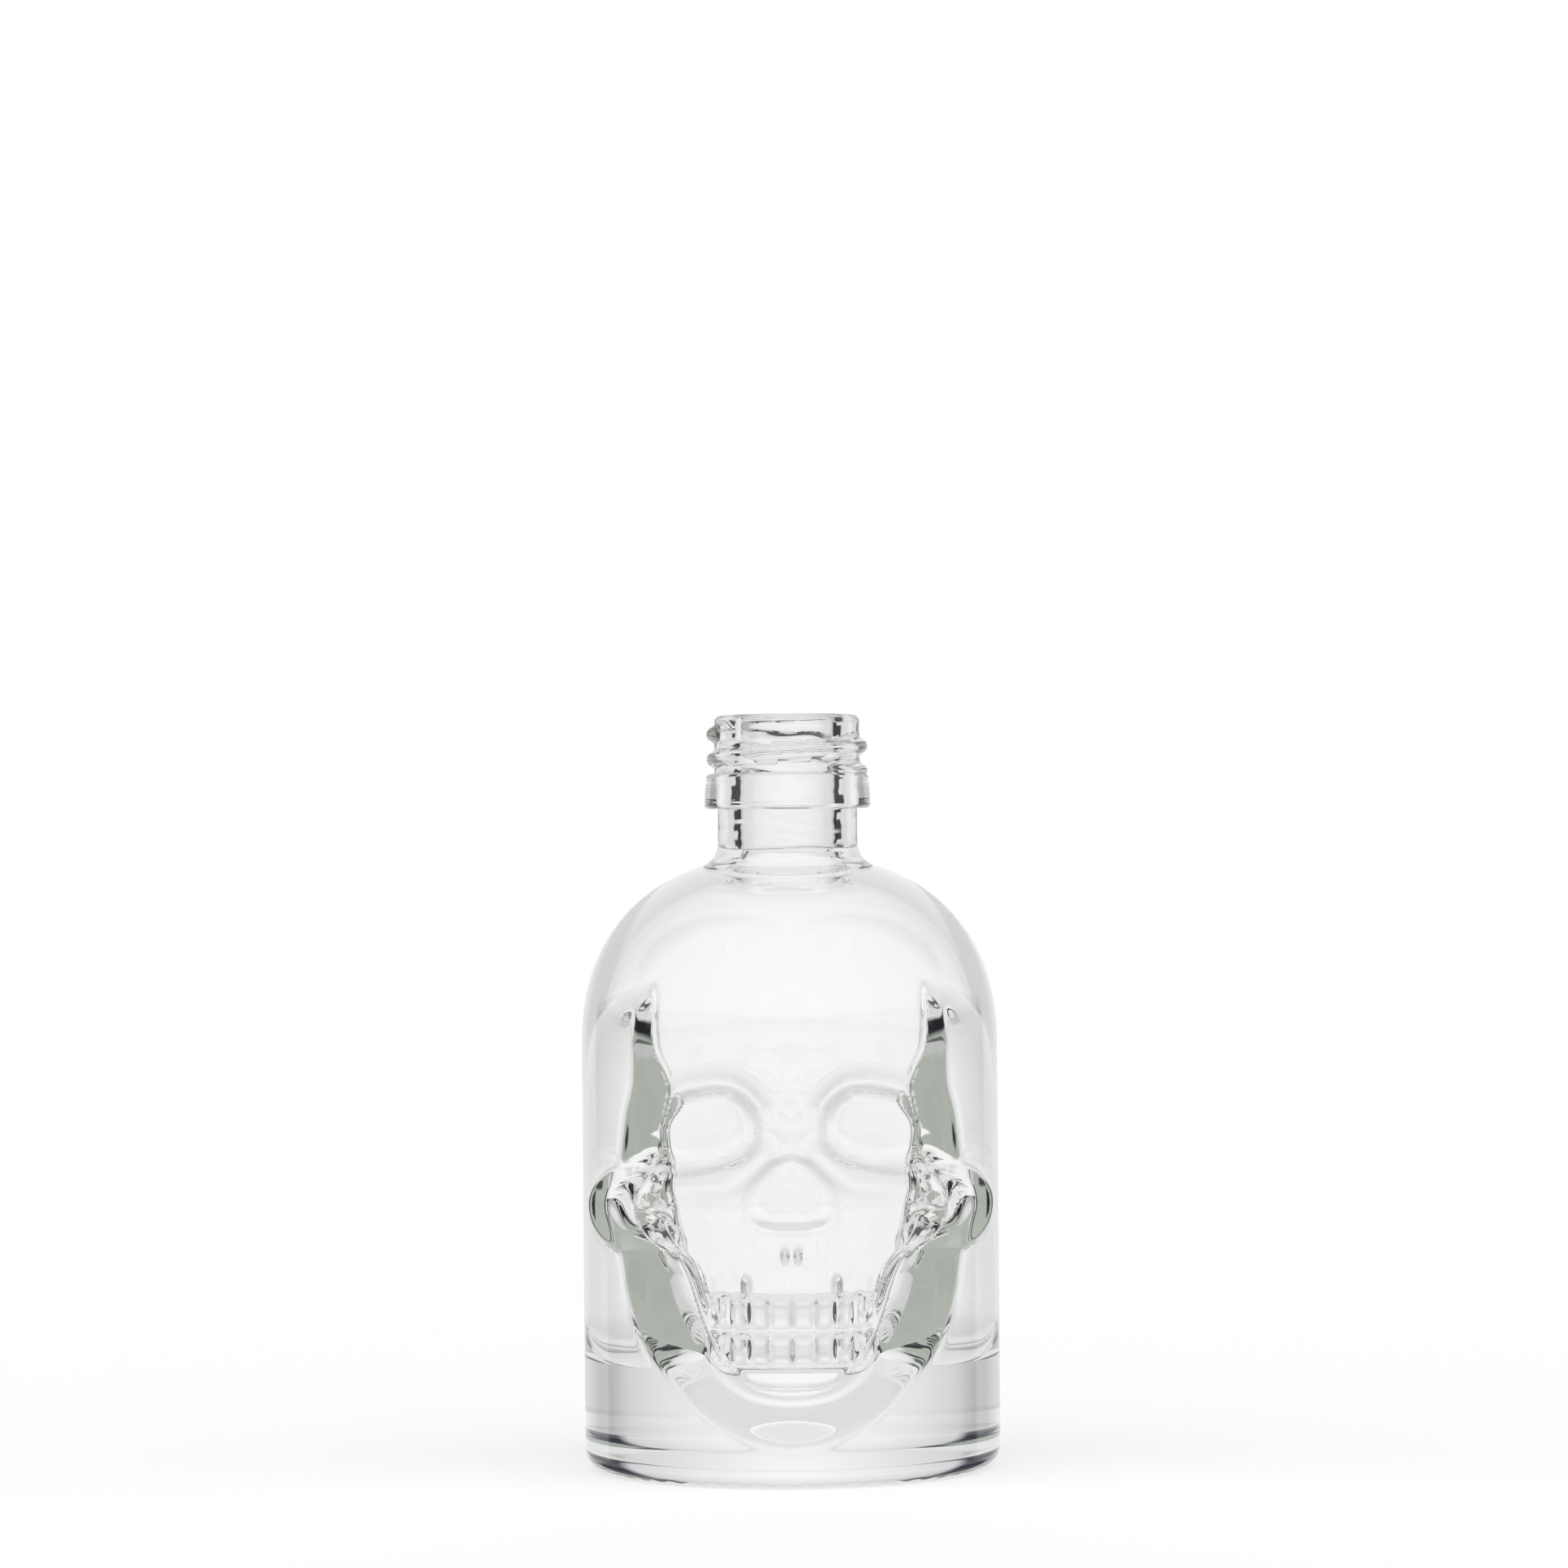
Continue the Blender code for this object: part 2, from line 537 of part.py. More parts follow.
def outer_rings():
    """Rings of the base, the body and the shoulder, from the middle of the base upwards."""
    bearing_inner = BEARING_RADIUS - BEARING_WIDTH
    profile = [(bearing_inner - PUNT_SLOPE_RUN, PUNT_RISE), (bearing_inner, 0.0), (BEARING_RADIUS, 0.0)]
    profile += arc(BEARING_RADIUS, HEEL_FILLET_RADIUS, HEEL_FILLET_RADIUS, -1, 0, FILLET_STEPS)[1:]
    foot = POCKET_PATH[0, 1]
    socket = face_point(*SOCKET_SHARES)[1]
    steep = [foot, foot + CROWD_WIDTH, UPPER_TEETH_BASE, ARCH_HEIGHT - ARCH_RADIUS, ARCH_HEIGHT + ARCH_RADIUS]
    steep += [socket + SOCKET_HALF_HEIGHT, face_point(0, SIDE_TOP_SHARE)[1]]
    for z in graded_rows(HEEL_FILLET_RADIUS, FACE_TOP, steep, FACE_ROWS):
        profile.append((float(body_radius_at(z)), float(z)))
    for radius in spread(profile[-1][0], neck_fillet()[0][0], SHOULDER_STEPS)[:-1]:
        profile.append((radius, float(shoulder_height(radius))))
    return [outer_ring(radius, z) for radius, z in profile]


def inner_rings():
    """Rings of the cavity below the bore, from its dome down to its floor."""
    profile = []
    flare_end = BORE_RADIUS + BORE_FLARE_RADIUS
    for radius in spread(flare_end, INNER_RADIUS * WIDEST_COLUMN_SHARE, SHOULDER_STEPS + 2):
        profile.append((radius, float(inner_dome_height(radius))))
    floor_top = BASE_THICKNESS + FLOOR_CORNER_RADIUS
    rows = round((profile[-1][1] - floor_top) / INNER_ROW)
    for z in spread(profile[-1][1], floor_top, rows):
        profile.append((float(min(INNER_RADIUS, body_radius_at(z) - WALL)), z))
    corner_centre = INNER_RADIUS - FLOOR_CORNER_RADIUS
    profile += arc(corner_centre, floor_top, FLOOR_CORNER_RADIUS, 0, -1, FILLET_STEPS)[1:]
    profile.append((corner_centre / 2, BASE_THICKNESS))
    return [inner_ring(radius, z) for radius, z in profile]


def add_ring(vertices, points):
    start = len(vertices)
    vertices += points
    return list(range(start, len(vertices)))


def bridge(vertices, faces, lower, upper):
    """Triangles between two rings with as many points, mirrored from side to side."""
    count = len(lower)
    for step in range(count):
        after = (step + 1) % count
        a, b, c, d = lower[step], lower[after], upper[after], upper[step]
        if vertices[a][0] + vertices[b][0] < 0:
            faces += [(a, b, c), (a, c, d)]
        else:
            faces += [(a, b, d), (b, c, d)]


def angle_of(vertex):
    return math.atan2(vertex[1], vertex[0])


def zip_rings(vertices, faces, lower, upper):
    """Triangles between two rings with different numbers of points, both starting at the left."""
    low, high = 0, 0
    while low < len(lower) or high < len(upper):
        low_turn = ring_turn(vertices, lower, low + 1)
        high_turn = ring_turn(vertices, upper, high + 1)
        low_here = lower[low % len(lower)]
        high_here = upper[high % len(upper)]
        if high >= len(upper) or low < len(lower) and low_turn <= high_turn:
            faces.append((low_here, lower[(low + 1) % len(lower)], high_here))
            low += 1
        else:
            faces.append((low_here, upper[(high + 1) % len(upper)], high_here))
            high += 1


def ring_turn(vertices, ring_points, place):
    """Turns from the left side, through the front, to a ring's point."""
    if place >= len(ring_points):
        return place / len(ring_points)
    turn = (angle_of(vertices[ring_points[place]]) + math.pi) / (2 * math.pi)
    return turn % 1


def fan(vertices, faces, ring_points, z, upwards):
    """Close a ring with triangles to a point on the axis."""
    vertices.append((0.0, 0.0, z))
    centre = len(vertices) - 1
    for step, here in enumerate(ring_points):
        after = ring_points[(step + 1) % len(ring_points)]
        faces.append((here, after, centre) if upwards else (centre, after, here))


def build_bottle():
    vertices = []
    faces = []
    body = [add_ring(vertices, points) for points in outer_rings()]
    finish = [add_ring(vertices, round_ring(*place)) for place in finish_profile()]
    bore = [add_ring(vertices, round_ring(*place)) for place in bore_profile()]
    cavity = [add_ring(vertices, points) for points in inner_rings()]
    fan(vertices, faces, body[0], PUNT_RISE, False)
    neck = finish + bore
    for rings in (body, neck, cavity):
        for lower, upper in zip(rings[:-1], rings[1:]):
            bridge(vertices, faces, lower, upper)
    zip_rings(vertices, faces, body[-1], neck[0])
    zip_rings(vertices, faces, neck[-1], cavity[0])
    fan(vertices, faces, cavity[-1], BASE_THICKNESS, True)
    mesh = bpy.data.meshes.new("glass_bottle")
    mesh.from_pydata(vertices, [], faces)
    mesh.validate()
    mesh.shade_smooth()
    mesh.set_sharp_from_angle(angle=math.radians(40))
    bottle = bpy.data.objects.new("glass_bottle", mesh)
    bpy.context.scene.collection.objects.link(bottle)
    return bottle


def clear_glass():
    material = bpy.data.materials.new("clear_glass")
    material.use_nodes = True
    shader = material.node_tree.nodes["Principled BSDF"]
    shader.inputs["Base Color"].default_value = (0.93, 0.96, 0.93, 1.0)
    shader.inputs["Metallic"].default_value = 0.0
    shader.inputs["Roughness"].default_value = 0.02
    shader.inputs["IOR"].default_value = 1.52
    shader.inputs["Transmission Weight"].default_value = 1.0
    return material


for item in list(bpy.data.objects):
    bpy.data.objects.remove(item)
glass_bottle = build_bottle()
glass_bottle.data.materials.append(clear_glass())
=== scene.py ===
# Clear glass skull bottle for the picture: the fine surface of the glass, its material, the
# studio round it and the camera. Metres, +Z up, the face looks along -Y.
import math

import bpy
import numpy as np
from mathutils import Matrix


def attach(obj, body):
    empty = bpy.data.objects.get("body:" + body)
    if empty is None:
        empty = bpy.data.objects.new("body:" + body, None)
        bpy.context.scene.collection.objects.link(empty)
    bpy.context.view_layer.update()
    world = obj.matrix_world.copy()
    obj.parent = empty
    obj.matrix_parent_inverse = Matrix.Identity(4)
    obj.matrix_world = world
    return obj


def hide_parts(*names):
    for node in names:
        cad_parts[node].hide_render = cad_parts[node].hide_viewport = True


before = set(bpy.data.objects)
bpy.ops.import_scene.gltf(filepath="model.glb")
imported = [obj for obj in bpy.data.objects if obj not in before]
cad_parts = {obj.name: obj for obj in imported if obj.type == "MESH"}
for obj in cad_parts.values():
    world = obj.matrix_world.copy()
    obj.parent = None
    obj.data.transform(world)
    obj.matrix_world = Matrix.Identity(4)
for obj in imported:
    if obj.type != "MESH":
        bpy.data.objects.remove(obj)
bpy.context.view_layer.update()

# Body of revolution
HEIGHT = 0.0825
BODY_RADIUS = 0.0228
HEEL_FILLET_RADIUS = 0.0024
BEARING_WIDTH = 0.0028
PUNT_RISE = 0.0012
PUNT_SLOPE_RUN = 0.0024
BASE_THICKNESS = 0.0118
FLOOR_CORNER_RADIUS = 0.0045
WALL = 0.0022
SHOULDER_RISE = 0.0212
SHOULDER_FULLNESS = 2.32

# Neck and finish, the part that takes the cap
NECK_RADIUS = 0.00767
NECK_LENGTH = 0.0050
NECK_FILLET_RADIUS = 0.0026
FINISH_RADIUS = 0.0080
FINISH_LENGTH = 0.0064
FINISH_WALL = 0.00285
BORE_FLARE_RADIUS = 0.0030
LIP_FILLET_RADIUS = 0.0008
RING_LENGTH = 0.0039
RING_TOP_STEP = 0.00092
RING_FOOT_STEP = 0.00114
RING_FILLET_RADIUS = 0.0005

# Skull, seen from the front
CHIN_HEIGHT = 0.0107
FACE_HEIGHT = 0.0450
FACE_HALF_WIDTH = 0.0126
FACE_SETBACK = 0.0021
FACE_CURVE_RADIUS = 0.0185
JAW_CURVE_RADIUS = 0.0125
FOREHEAD_SLOPE = 0.30
FOREHEAD_SHARE = 0.69
JAW_CURVE_SHARES = (0.1, 0.45)
FACE_EDGE_RADIUS = 0.0006

# Pocket around the skull
POCKET_WIDTH = 0.0058
POCKET_ROUND = 0.0008
POCKET_RIM_ROUND = 0.0003
SKULL_DRAFT = math.radians(2.5)
CHIN_DRAFT = math.radians(38)
CHIN_DRAFT_SHARE = 0.12
POCKET_DRAFT = math.radians(54)

# Outlines from the chin upwards, as (height, half width) shares of the face's height and of the
# face's or the pocket's half width
SKULL_OUTLINE_SHARES = (
    (0.000, -0.22), (0.000, 0.00), (0.002, 0.22), (0.011, 0.37), (0.051, 0.55), (0.127, 0.72),
    (0.218, 0.83), (0.296, 0.91), (0.385, 0.98), (0.496, 1.05), (0.551, 1.09), (0.609, 1.09),
    (0.655, 1.04), (0.700, 1.01), (0.740, 1.06), (0.790, 1.14), (0.850, 1.16), (0.930, 1.16),
    (1.100, 1.18), (1.400, 1.20), (1.600, 1.20),
)
POCKET_OUTLINE_SHARES = (
    (-0.129, -0.15), (-0.136, 0.00), (-0.129, 0.15), (-0.109, 0.30), (-0.076, 0.45), (-0.030, 0.60),
    (0.034, 0.76), (0.110, 0.885), (0.202, 0.96), (0.300, 0.99), (0.430, 1.00), (0.540, 0.995),
    (0.640, 0.97), (0.711, 0.93), (0.800, 0.915), (0.850, 0.91), (0.893, 0.885), (0.925, 0.80),
    (0.945, 0.65), (0.958, 0.40), (0.962, 0.00), (0.962, -0.20),
)

# Cheekbone arch that crosses the pocket, and the rim's bulge round its end
ARCH_START_SHARES = (0.71, 0.411)
ARCH_SETBACK = 0.0060
ARCH_RADIUS = 0.0041
ARCH_GAP = 0.0051
ARCH_ROUND = 0.0012
BULGE_SHARE = 0.125

# Features of the face, at shares of its half width and height
BROW_SHARES = (
    (0.28, 0.668), (0.38, 0.698), (0.50, 0.717), (0.66, 0.722), (0.86, 0.712), (1.05, 0.690),
)
BROW_RISE = 0.0012
BROW_WIDTH = 0.0013
SOCKET_SHARES = (0.685, 0.606)
SOCKET_HALF_WIDTH = 0.0043
SOCKET_OUTER_HALF_WIDTH = 0.0068
SOCKET_HALF_HEIGHT = 0.0035
SOCKET_DEPTH = 0.0028
SOCKET_SLOPE = 0.0026
SOCKET_SQUARENESS = 2.7
SOCKET_TILT = math.radians(-13)
NASAL_BONE_SHARE = 0.60
NASAL_BONE_HALF_WIDTH = 0.0021
NASAL_BONE_HALF_HEIGHT = 0.0036
NASAL_BONE_RISE = 0.0009
NASAL_BONE_SQUARENESS = 4
NASAL_BASE_SHARE = 0.365
NASAL_TOP_SHARE = 0.556
NASAL_HALF_WIDTH = 0.0041
NASAL_WIDEST_SHARE = 0.35
NASAL_DEPTH = 0.0014
NASAL_SLOPE = 0.0030
NASAL_FADE = 0.0015
CHEEK_SHARES = (
    (0.24, 0.544), (0.33, 0.520), (0.55, 0.471), (0.79, 0.464), (1.03, 0.460), (1.30, 0.450),
)
CHEEK_RISE = 0.0011
CHEEK_WIDTH = 0.0015
CHEEK_HOLLOW_SHARES = (0.78, 0.305)
CHEEK_HOLLOW_DEPTH = 0.0013
CHEEK_HOLLOW_SIZE = 0.0030
JAW_CREASE_SHARES = ((0.99, 0.322), (0.80, 0.282), (0.74, 0.250), (0.71, 0.211), (0.65, 0.180))
JAW_CREASE_DEPTH = 0.0007
JAW_CREASE_WIDTH = 0.0007

# Teeth, with half of each row's width shared out between five teeth
TEETH_HALF_WIDTH = 0.0088
TOOTH_EDGE_SHARES = (0.0, 0.267, 0.489, 0.699, 0.869, 1.0)
CHIN_TO_TEETH = 0.0022
LOWER_TOOTH_LENGTH = 0.0034
BITE_GAP = 0.0004
UPPER_TOOTH_LENGTH = 0.0036
TOOTH_RISE = 0.0007
TOOTH_SQUARENESS = 4

# Cavity inside the skull: thin walls in front and at its sides, thick ones behind the pocket
INNER_RIDGE_SHARE = 0.2
INNER_HOLLOW_SHARE = 0.8
FACE_WALL = 0.0019
FLANK_WALL = 0.0007
INNER_EDGE_RADIUS = 0.0004
SIDE_WALL = 0.0018
SIDE_SETBACK = 0.0127
SIDE_SLOPE = 0.62
SIDE_TOP_SHARE = 0.81
SIDE_TOP_SLOPE = 1.2
SIDE_TOP_ROUND = 0.0030
INNER_ROUND = 0.0010

# Fold of the cavity into the cheekbone arch and its ribs behind the teeth
KNOB_WALL = 0.0012
KNOB_DEPTH = 0.0045
KNOB_SLOPE = 1.2
KNOB_ROUND = 0.0005
KNOB_START = 0.9
KNOB_WAVE = 0.0010
KNOB_WAVES = 3200
KNOB_LEAN = 0.65
KNOB_SWAY = 0.0006
KNOB_SHIFT = -0.0004
RIB_SLOPES = (0.0, 0.3, 0.7, 0.9, 0.7)

# Small pits over the teeth and under the nose, each as its distance from the middle, height, half
# width, half height and depth
PITS = (
    (0.0048, 0.0214, 0.0006, 0.0014, 0.0017),
    (0.0007, 0.0246, 0.0005, 0.0010, 0.0014),
)

# Thread on the finish, which starts softly and runs on into the ring
THREAD_TOP = 0.0804
THREAD_PITCH = 0.00275
THREAD_TURNS = 1.5
THREAD_RISE = 0.00085
THREAD_HALF_WIDTH = 0.00092
THREAD_SHARPNESS = 2.4
THREAD_ROUNDNESS = 0.75
THREAD_FADE = 0.45
THREAD_RUN_ON = 1
THREAD_LAPS = 3

# Knurls under the base, which fade out on the heel
KNURL_COUNT = 52
KNURL_HEIGHT = 0.00025
KNURL_SHARPNESS = 1.5
KNURL_HEEL_TURN = 0.7
KNURL_FADE_SHARE = 0.25

# Slow and quicker waves of the glass inside the neck: height, waves along it, sway, sways around it
SLOW_WAVE = (0.00004, 2100, 1.3, 2)
QUICK_WAVE = (0.00006, 4700, 2, 3)

# Fineness of the curves
OUTLINE_STEPS = 8
FILLET_ROWS = 10
SECTION_SAMPLES = 2400
TOUCH_TRIES = 10

# Columns of the surface over the face, its edges and the back
FRONT_COLUMNS = 95
EDGE_COLUMNS = 24
BACK_COLUMNS = 120
FRONT_SHARE = 0.84

# Rows of the surface, as distances between them or as counts, the radius of the innermost ones and
# the share of the cavity's radius at which its dome ends
CENTRE_RADIUS = 0.0005
PUNT_ROWS = 6
PUNT_SLOPE_ROWS = 8
BEARING_ROWS = 5
HEEL_ROWS = 12
FACE_ROW = 0.00025
SHOULDER_SAMPLES = 60
SHOULDER_ROW = 0.0007
FINISH_ROW = 0.0002
BORE_ROW = 0.0006
DOME_SHARE = 0.985
DOME_SAMPLES = 80
DOME_ROW = 0.0008
CAVITY_ROW = 0.0005
FLOOR_CORNER_ROWS = 14
FLOOR_ROWS = 16

# Angle from which the surface shows an edge
SHARP_ANGLE = math.radians(60)

# Places worked out from the sizes above
BEARING_RADIUS = BODY_RADIUS - HEEL_FILLET_RADIUS
PUNT_RADIUS = BEARING_RADIUS - BEARING_WIDTH
INNER_RADIUS = BODY_RADIUS - WALL
BORE_RADIUS = FINISH_RADIUS - FINISH_WALL
RING_TOP = HEIGHT - FINISH_LENGTH
RING_FOOT = RING_TOP - RING_LENGTH
SHOULDER_START = RING_FOOT - NECK_LENGTH - SHOULDER_RISE
FACE_FRONT = BODY_RADIUS - FACE_SETBACK
FACE_TOP = CHIN_HEIGHT + FACE_HEIGHT
POCKET_HALF_WIDTH = FACE_HALF_WIDTH + POCKET_WIDTH
ARCH_REACH = BODY_RADIUS - ARCH_SETBACK
BULGE_REACH = ARCH_REACH + ARCH_GAP
BULGE_RADIUS = ARCH_RADIUS + BULGE_SHARE * ARCH_GAP
LOWER_TEETH_BASE = CHIN_HEIGHT + CHIN_TO_TEETH
UPPER_TEETH_BASE = LOWER_TEETH_BASE + LOWER_TOOTH_LENGTH + BITE_GAP
TOOTH_ROWS = ((LOWER_TEETH_BASE, LOWER_TOOTH_LENGTH), (UPPER_TEETH_BASE, UPPER_TOOTH_LENGTH))
TOOTH_EDGES = tuple(share * TEETH_HALF_WIDTH for share in TOOTH_EDGE_SHARES)


def smooth_step(value, low, high):
    """Rise from 0 to 1 between low and high."""
    part = np.clip((value - low) / (high - low), 0, 1)
    return part * part * (3 - 2 * part)


def soft_positive(value, width):
    """The value where it is positive and 0 where it is not, rounded over a width."""
    return width * np.logaddexp(0, value / width)


def blend_max(first, second, width):
    return first + soft_positive(second - first, width)


def blend_min(first, second, width):
    return first - soft_positive(first - second, width)


def smooth_path(points):
    """Points on a smooth curve through the given ones, whose two ends only steer it."""
    points = np.array(points)
    path = []
    for before, start, end, after in zip(points[:-3], points[1:-2], points[2:-1], points[3:]):
        for step in range(OUTLINE_STEPS):
            t = step / OUTLINE_STEPS
            bend = 2 * before - 5 * start + 4 * end - after
            twist = -before + 3 * start - 3 * end + after
            path.append(start + (t * (end - before) + t ** 2 * bend + t ** 3 * twist) / 2)
    path.append(points[-2])
    return np.array(path)


def face_height(share):
    return CHIN_HEIGHT + share * FACE_HEIGHT


def face_point(width_share, height_share):
    return (width_share * FACE_HALF_WIDTH, face_height(height_share))


def outline(shares, half_width):
    return smooth_path([(width * half_width, face_height(height)) for height, width in shares])


def crest(shares):
    return np.array([face_point(*share) for share in shares])


def distance_to_path(x, z, path):
    nearest = np.full(np.shape(x), np.inf)
    for (ax, az), (bx, bz) in zip(path[:-1], path[1:]):
        length_squared = (bx - ax) ** 2 + (bz - az) ** 2
        along = ((x - ax) * (bx - ax) + (z - az) * (bz - az)) / length_squared
        along = np.clip(along, 0, 1)
        away = np.hypot(x - ax - along * (bx - ax), z - az - along * (bz - az))
        nearest = np.minimum(nearest, away)
    return nearest


def half_width_at(z, path):
    """Half width of an outline at a height, 0 above and below it."""
    return np.interp(z, path[:, 1], path[:, 0], left=0, right=0)


def outline_distance(x, z, path):
    """Distance outside an outline, negative inside it."""
    away = distance_to_path(x, z, path)
    return np.where(x < half_width_at(z, path), -away, away)


SKULL_PATH = outline(SKULL_OUTLINE_SHARES, FACE_HALF_WIDTH)
POCKET_PATH = outline(POCKET_OUTLINE_SHARES, POCKET_HALF_WIDTH)
ARCH_START, ARCH_HEIGHT = face_point(*ARCH_START_SHARES)
NASAL_BASE = face_height(NASAL_BASE_SHARE)
NASAL_TOP = face_height(NASAL_TOP_SHARE)


# Profiles of revolution, as (radius, height) points
def fullness(part):
    """The shoulder's curve, from 1 at a part of 0 down to 0 at a part of 1."""
    return (1 - np.clip(part, 0, 1) ** SHOULDER_FULLNESS) ** (1 / SHOULDER_FULLNESS)


def shoulder_height(radius):
    return SHOULDER_START + SHOULDER_RISE * fullness(radius / BODY_RADIUS)


def inner_dome_height(radius):
    return SHOULDER_START + (SHOULDER_RISE - WALL) * fullness(radius / INNER_RADIUS)


def body_radius_at(z):
    """Outer radius of the heel, the body and its shoulder at a height."""
    radius = BODY_RADIUS * fullness((z - SHOULDER_START) / SHOULDER_RISE)
    drop = np.clip(HEEL_FILLET_RADIUS - z, 0, HEEL_FILLET_RADIUS)
    return radius - HEEL_FILLET_RADIUS + np.sqrt(HEEL_FILLET_RADIUS ** 2 - drop ** 2)


def arc(centre_radius, centre_height, arc_radius, start, end, steps):
    """Points of a profile's fillet between two angles in quarter turns."""
    points = []
    for angle in np.linspace(start, end, steps + 1) * math.pi / 2:
        across = arc_radius * math.cos(angle)
        points.append((centre_radius + across, centre_height + arc_radius * math.sin(angle)))
    return points


def shoulder_lean(radius):
    """Angle of the shoulder below the horizontal at a radius."""
    part = radius / BODY_RADIUS
    steepness = (1 - part ** SHOULDER_FULLNESS) ** (1 / SHOULDER_FULLNESS - 1)
    fall = part ** (SHOULDER_FULLNESS - 1) * steepness
    return math.atan(SHOULDER_RISE / BODY_RADIUS * fall)


def neck_fillet():
    """The fillet that touches the shoulder and the neck, from the shoulder upwards."""
    centre_radius = NECK_RADIUS + NECK_FILLET_RADIUS
    touch = centre_radius
    for _ in range(TOUCH_TRIES):
        lean = shoulder_lean(touch)
        touch = centre_radius - NECK_FILLET_RADIUS * math.sin(lean)
    centre_height = float(shoulder_height(touch)) + NECK_FILLET_RADIUS * math.cos(lean)
    start = -1 - lean / math.pi * 2
    return arc(centre_radius, centre_height, NECK_FILLET_RADIUS, start, -2, FILLET_ROWS)


def finish_profile():
    """Outside of the neck and finish, from the shoulder's fillet to the lip."""
    foot_centre = FINISH_RADIUS + RING_FOOT_STEP - RING_FILLET_RADIUS
    top_centre = FINISH_RADIUS + RING_TOP_STEP - RING_FILLET_RADIUS
    lip_centre = FINISH_RADIUS - LIP_FILLET_RADIUS
    profile = neck_fillet()
    profile.append((NECK_RADIUS, RING_FOOT))
    for centre, z, turn in ((foot_centre, RING_FOOT + RING_FILLET_RADIUS, -1),
                            (top_centre, RING_TOP - RING_FILLET_RADIUS, 0)):
        profile += arc(centre, z, RING_FILLET_RADIUS, turn, turn + 1, FILLET_ROWS)
    profile.append((FINISH_RADIUS, RING_TOP))
    profile += arc(lip_centre, HEIGHT - LIP_FILLET_RADIUS, LIP_FILLET_RADIUS, 0, 1, FILLET_ROWS)
    return profile


def bore_profile():
    """Inside of the lip and neck, from the lip down to the cavity's dome."""
    flare_end = BORE_RADIUS + BORE_FLARE_RADIUS
    flare_centre = float(inner_dome_height(flare_end)) + BORE_FLARE_RADIUS
    lip_centre = BORE_RADIUS + LIP_FILLET_RADIUS
    profile = arc(lip_centre, HEIGHT - LIP_FILLET_RADIUS, LIP_FILLET_RADIUS, 1, 2, FILLET_ROWS)
    return profile + arc(flare_end, flare_centre, BORE_FLARE_RADIUS, 2, 3, FILLET_ROWS)


# Relief of the front: how far each surface stands in front of the axis
def socket_distance(x, z):
    """Distance outside the eye socket, a tilted rounded box, negative inside it."""
    centre_x, centre_z = face_point(*SOCKET_SHARES)
    away_x = (x - centre_x) * math.cos(SOCKET_TILT) + (z - centre_z) * math.sin(SOCKET_TILT)
    away_z = (z - centre_z) * math.cos(SOCKET_TILT) - (x - centre_x) * math.sin(SOCKET_TILT)
    half_width = np.where(away_x > 0, SOCKET_OUTER_HALF_WIDTH, SOCKET_HALF_WIDTH)
    across = np.abs(away_x / half_width) ** SOCKET_SQUARENESS
    up = np.abs(away_z / SOCKET_HALF_HEIGHT) ** SOCKET_SQUARENESS
    return ((across + up) ** (1 / SOCKET_SQUARENESS) - 1) * SOCKET_HALF_HEIGHT


def mound(away, width):
    return np.exp(-(away / width) ** 2)


def tooth_share(away):
    """How full a tooth is between its middle at 0 and its edge at 1."""
    return 1 - np.clip(away, 0, 1) ** TOOTH_SQUARENESS


def teeth_rise(x, z):
    rise = np.zeros(np.shape(x))
    for base, length in TOOTH_ROWS:
        up = tooth_share(np.abs((z - base) / length - 0.5) * 2)
        for inner, outer in zip(TOOTH_EDGES[:-1], TOOTH_EDGES[1:]):
            across = tooth_share(np.abs(x - (inner + outer) / 2) / (outer - inner) * 2)
            rise = np.maximum(rise, TOOTH_RISE * across * up)
    return rise


def nasal_half_width(z):
    """Half width of the pear-shaped nasal opening at a height."""
    part = (z - NASAL_BASE) / (NASAL_TOP - NASAL_BASE)
    low = np.sqrt(np.clip(1 - (1 - part / NASAL_WIDEST_SHARE) ** 2, 0, 1))
    above = np.clip((part - NASAL_WIDEST_SHARE) / (1 - NASAL_WIDEST_SHARE), 0, 1)
    high = np.cos(above * math.pi / 2)
    inside = (part > 0) & (part < 1)
    return NASAL_HALF_WIDTH * np.where(inside, np.where(part < NASAL_WIDEST_SHARE, low, high), 0)


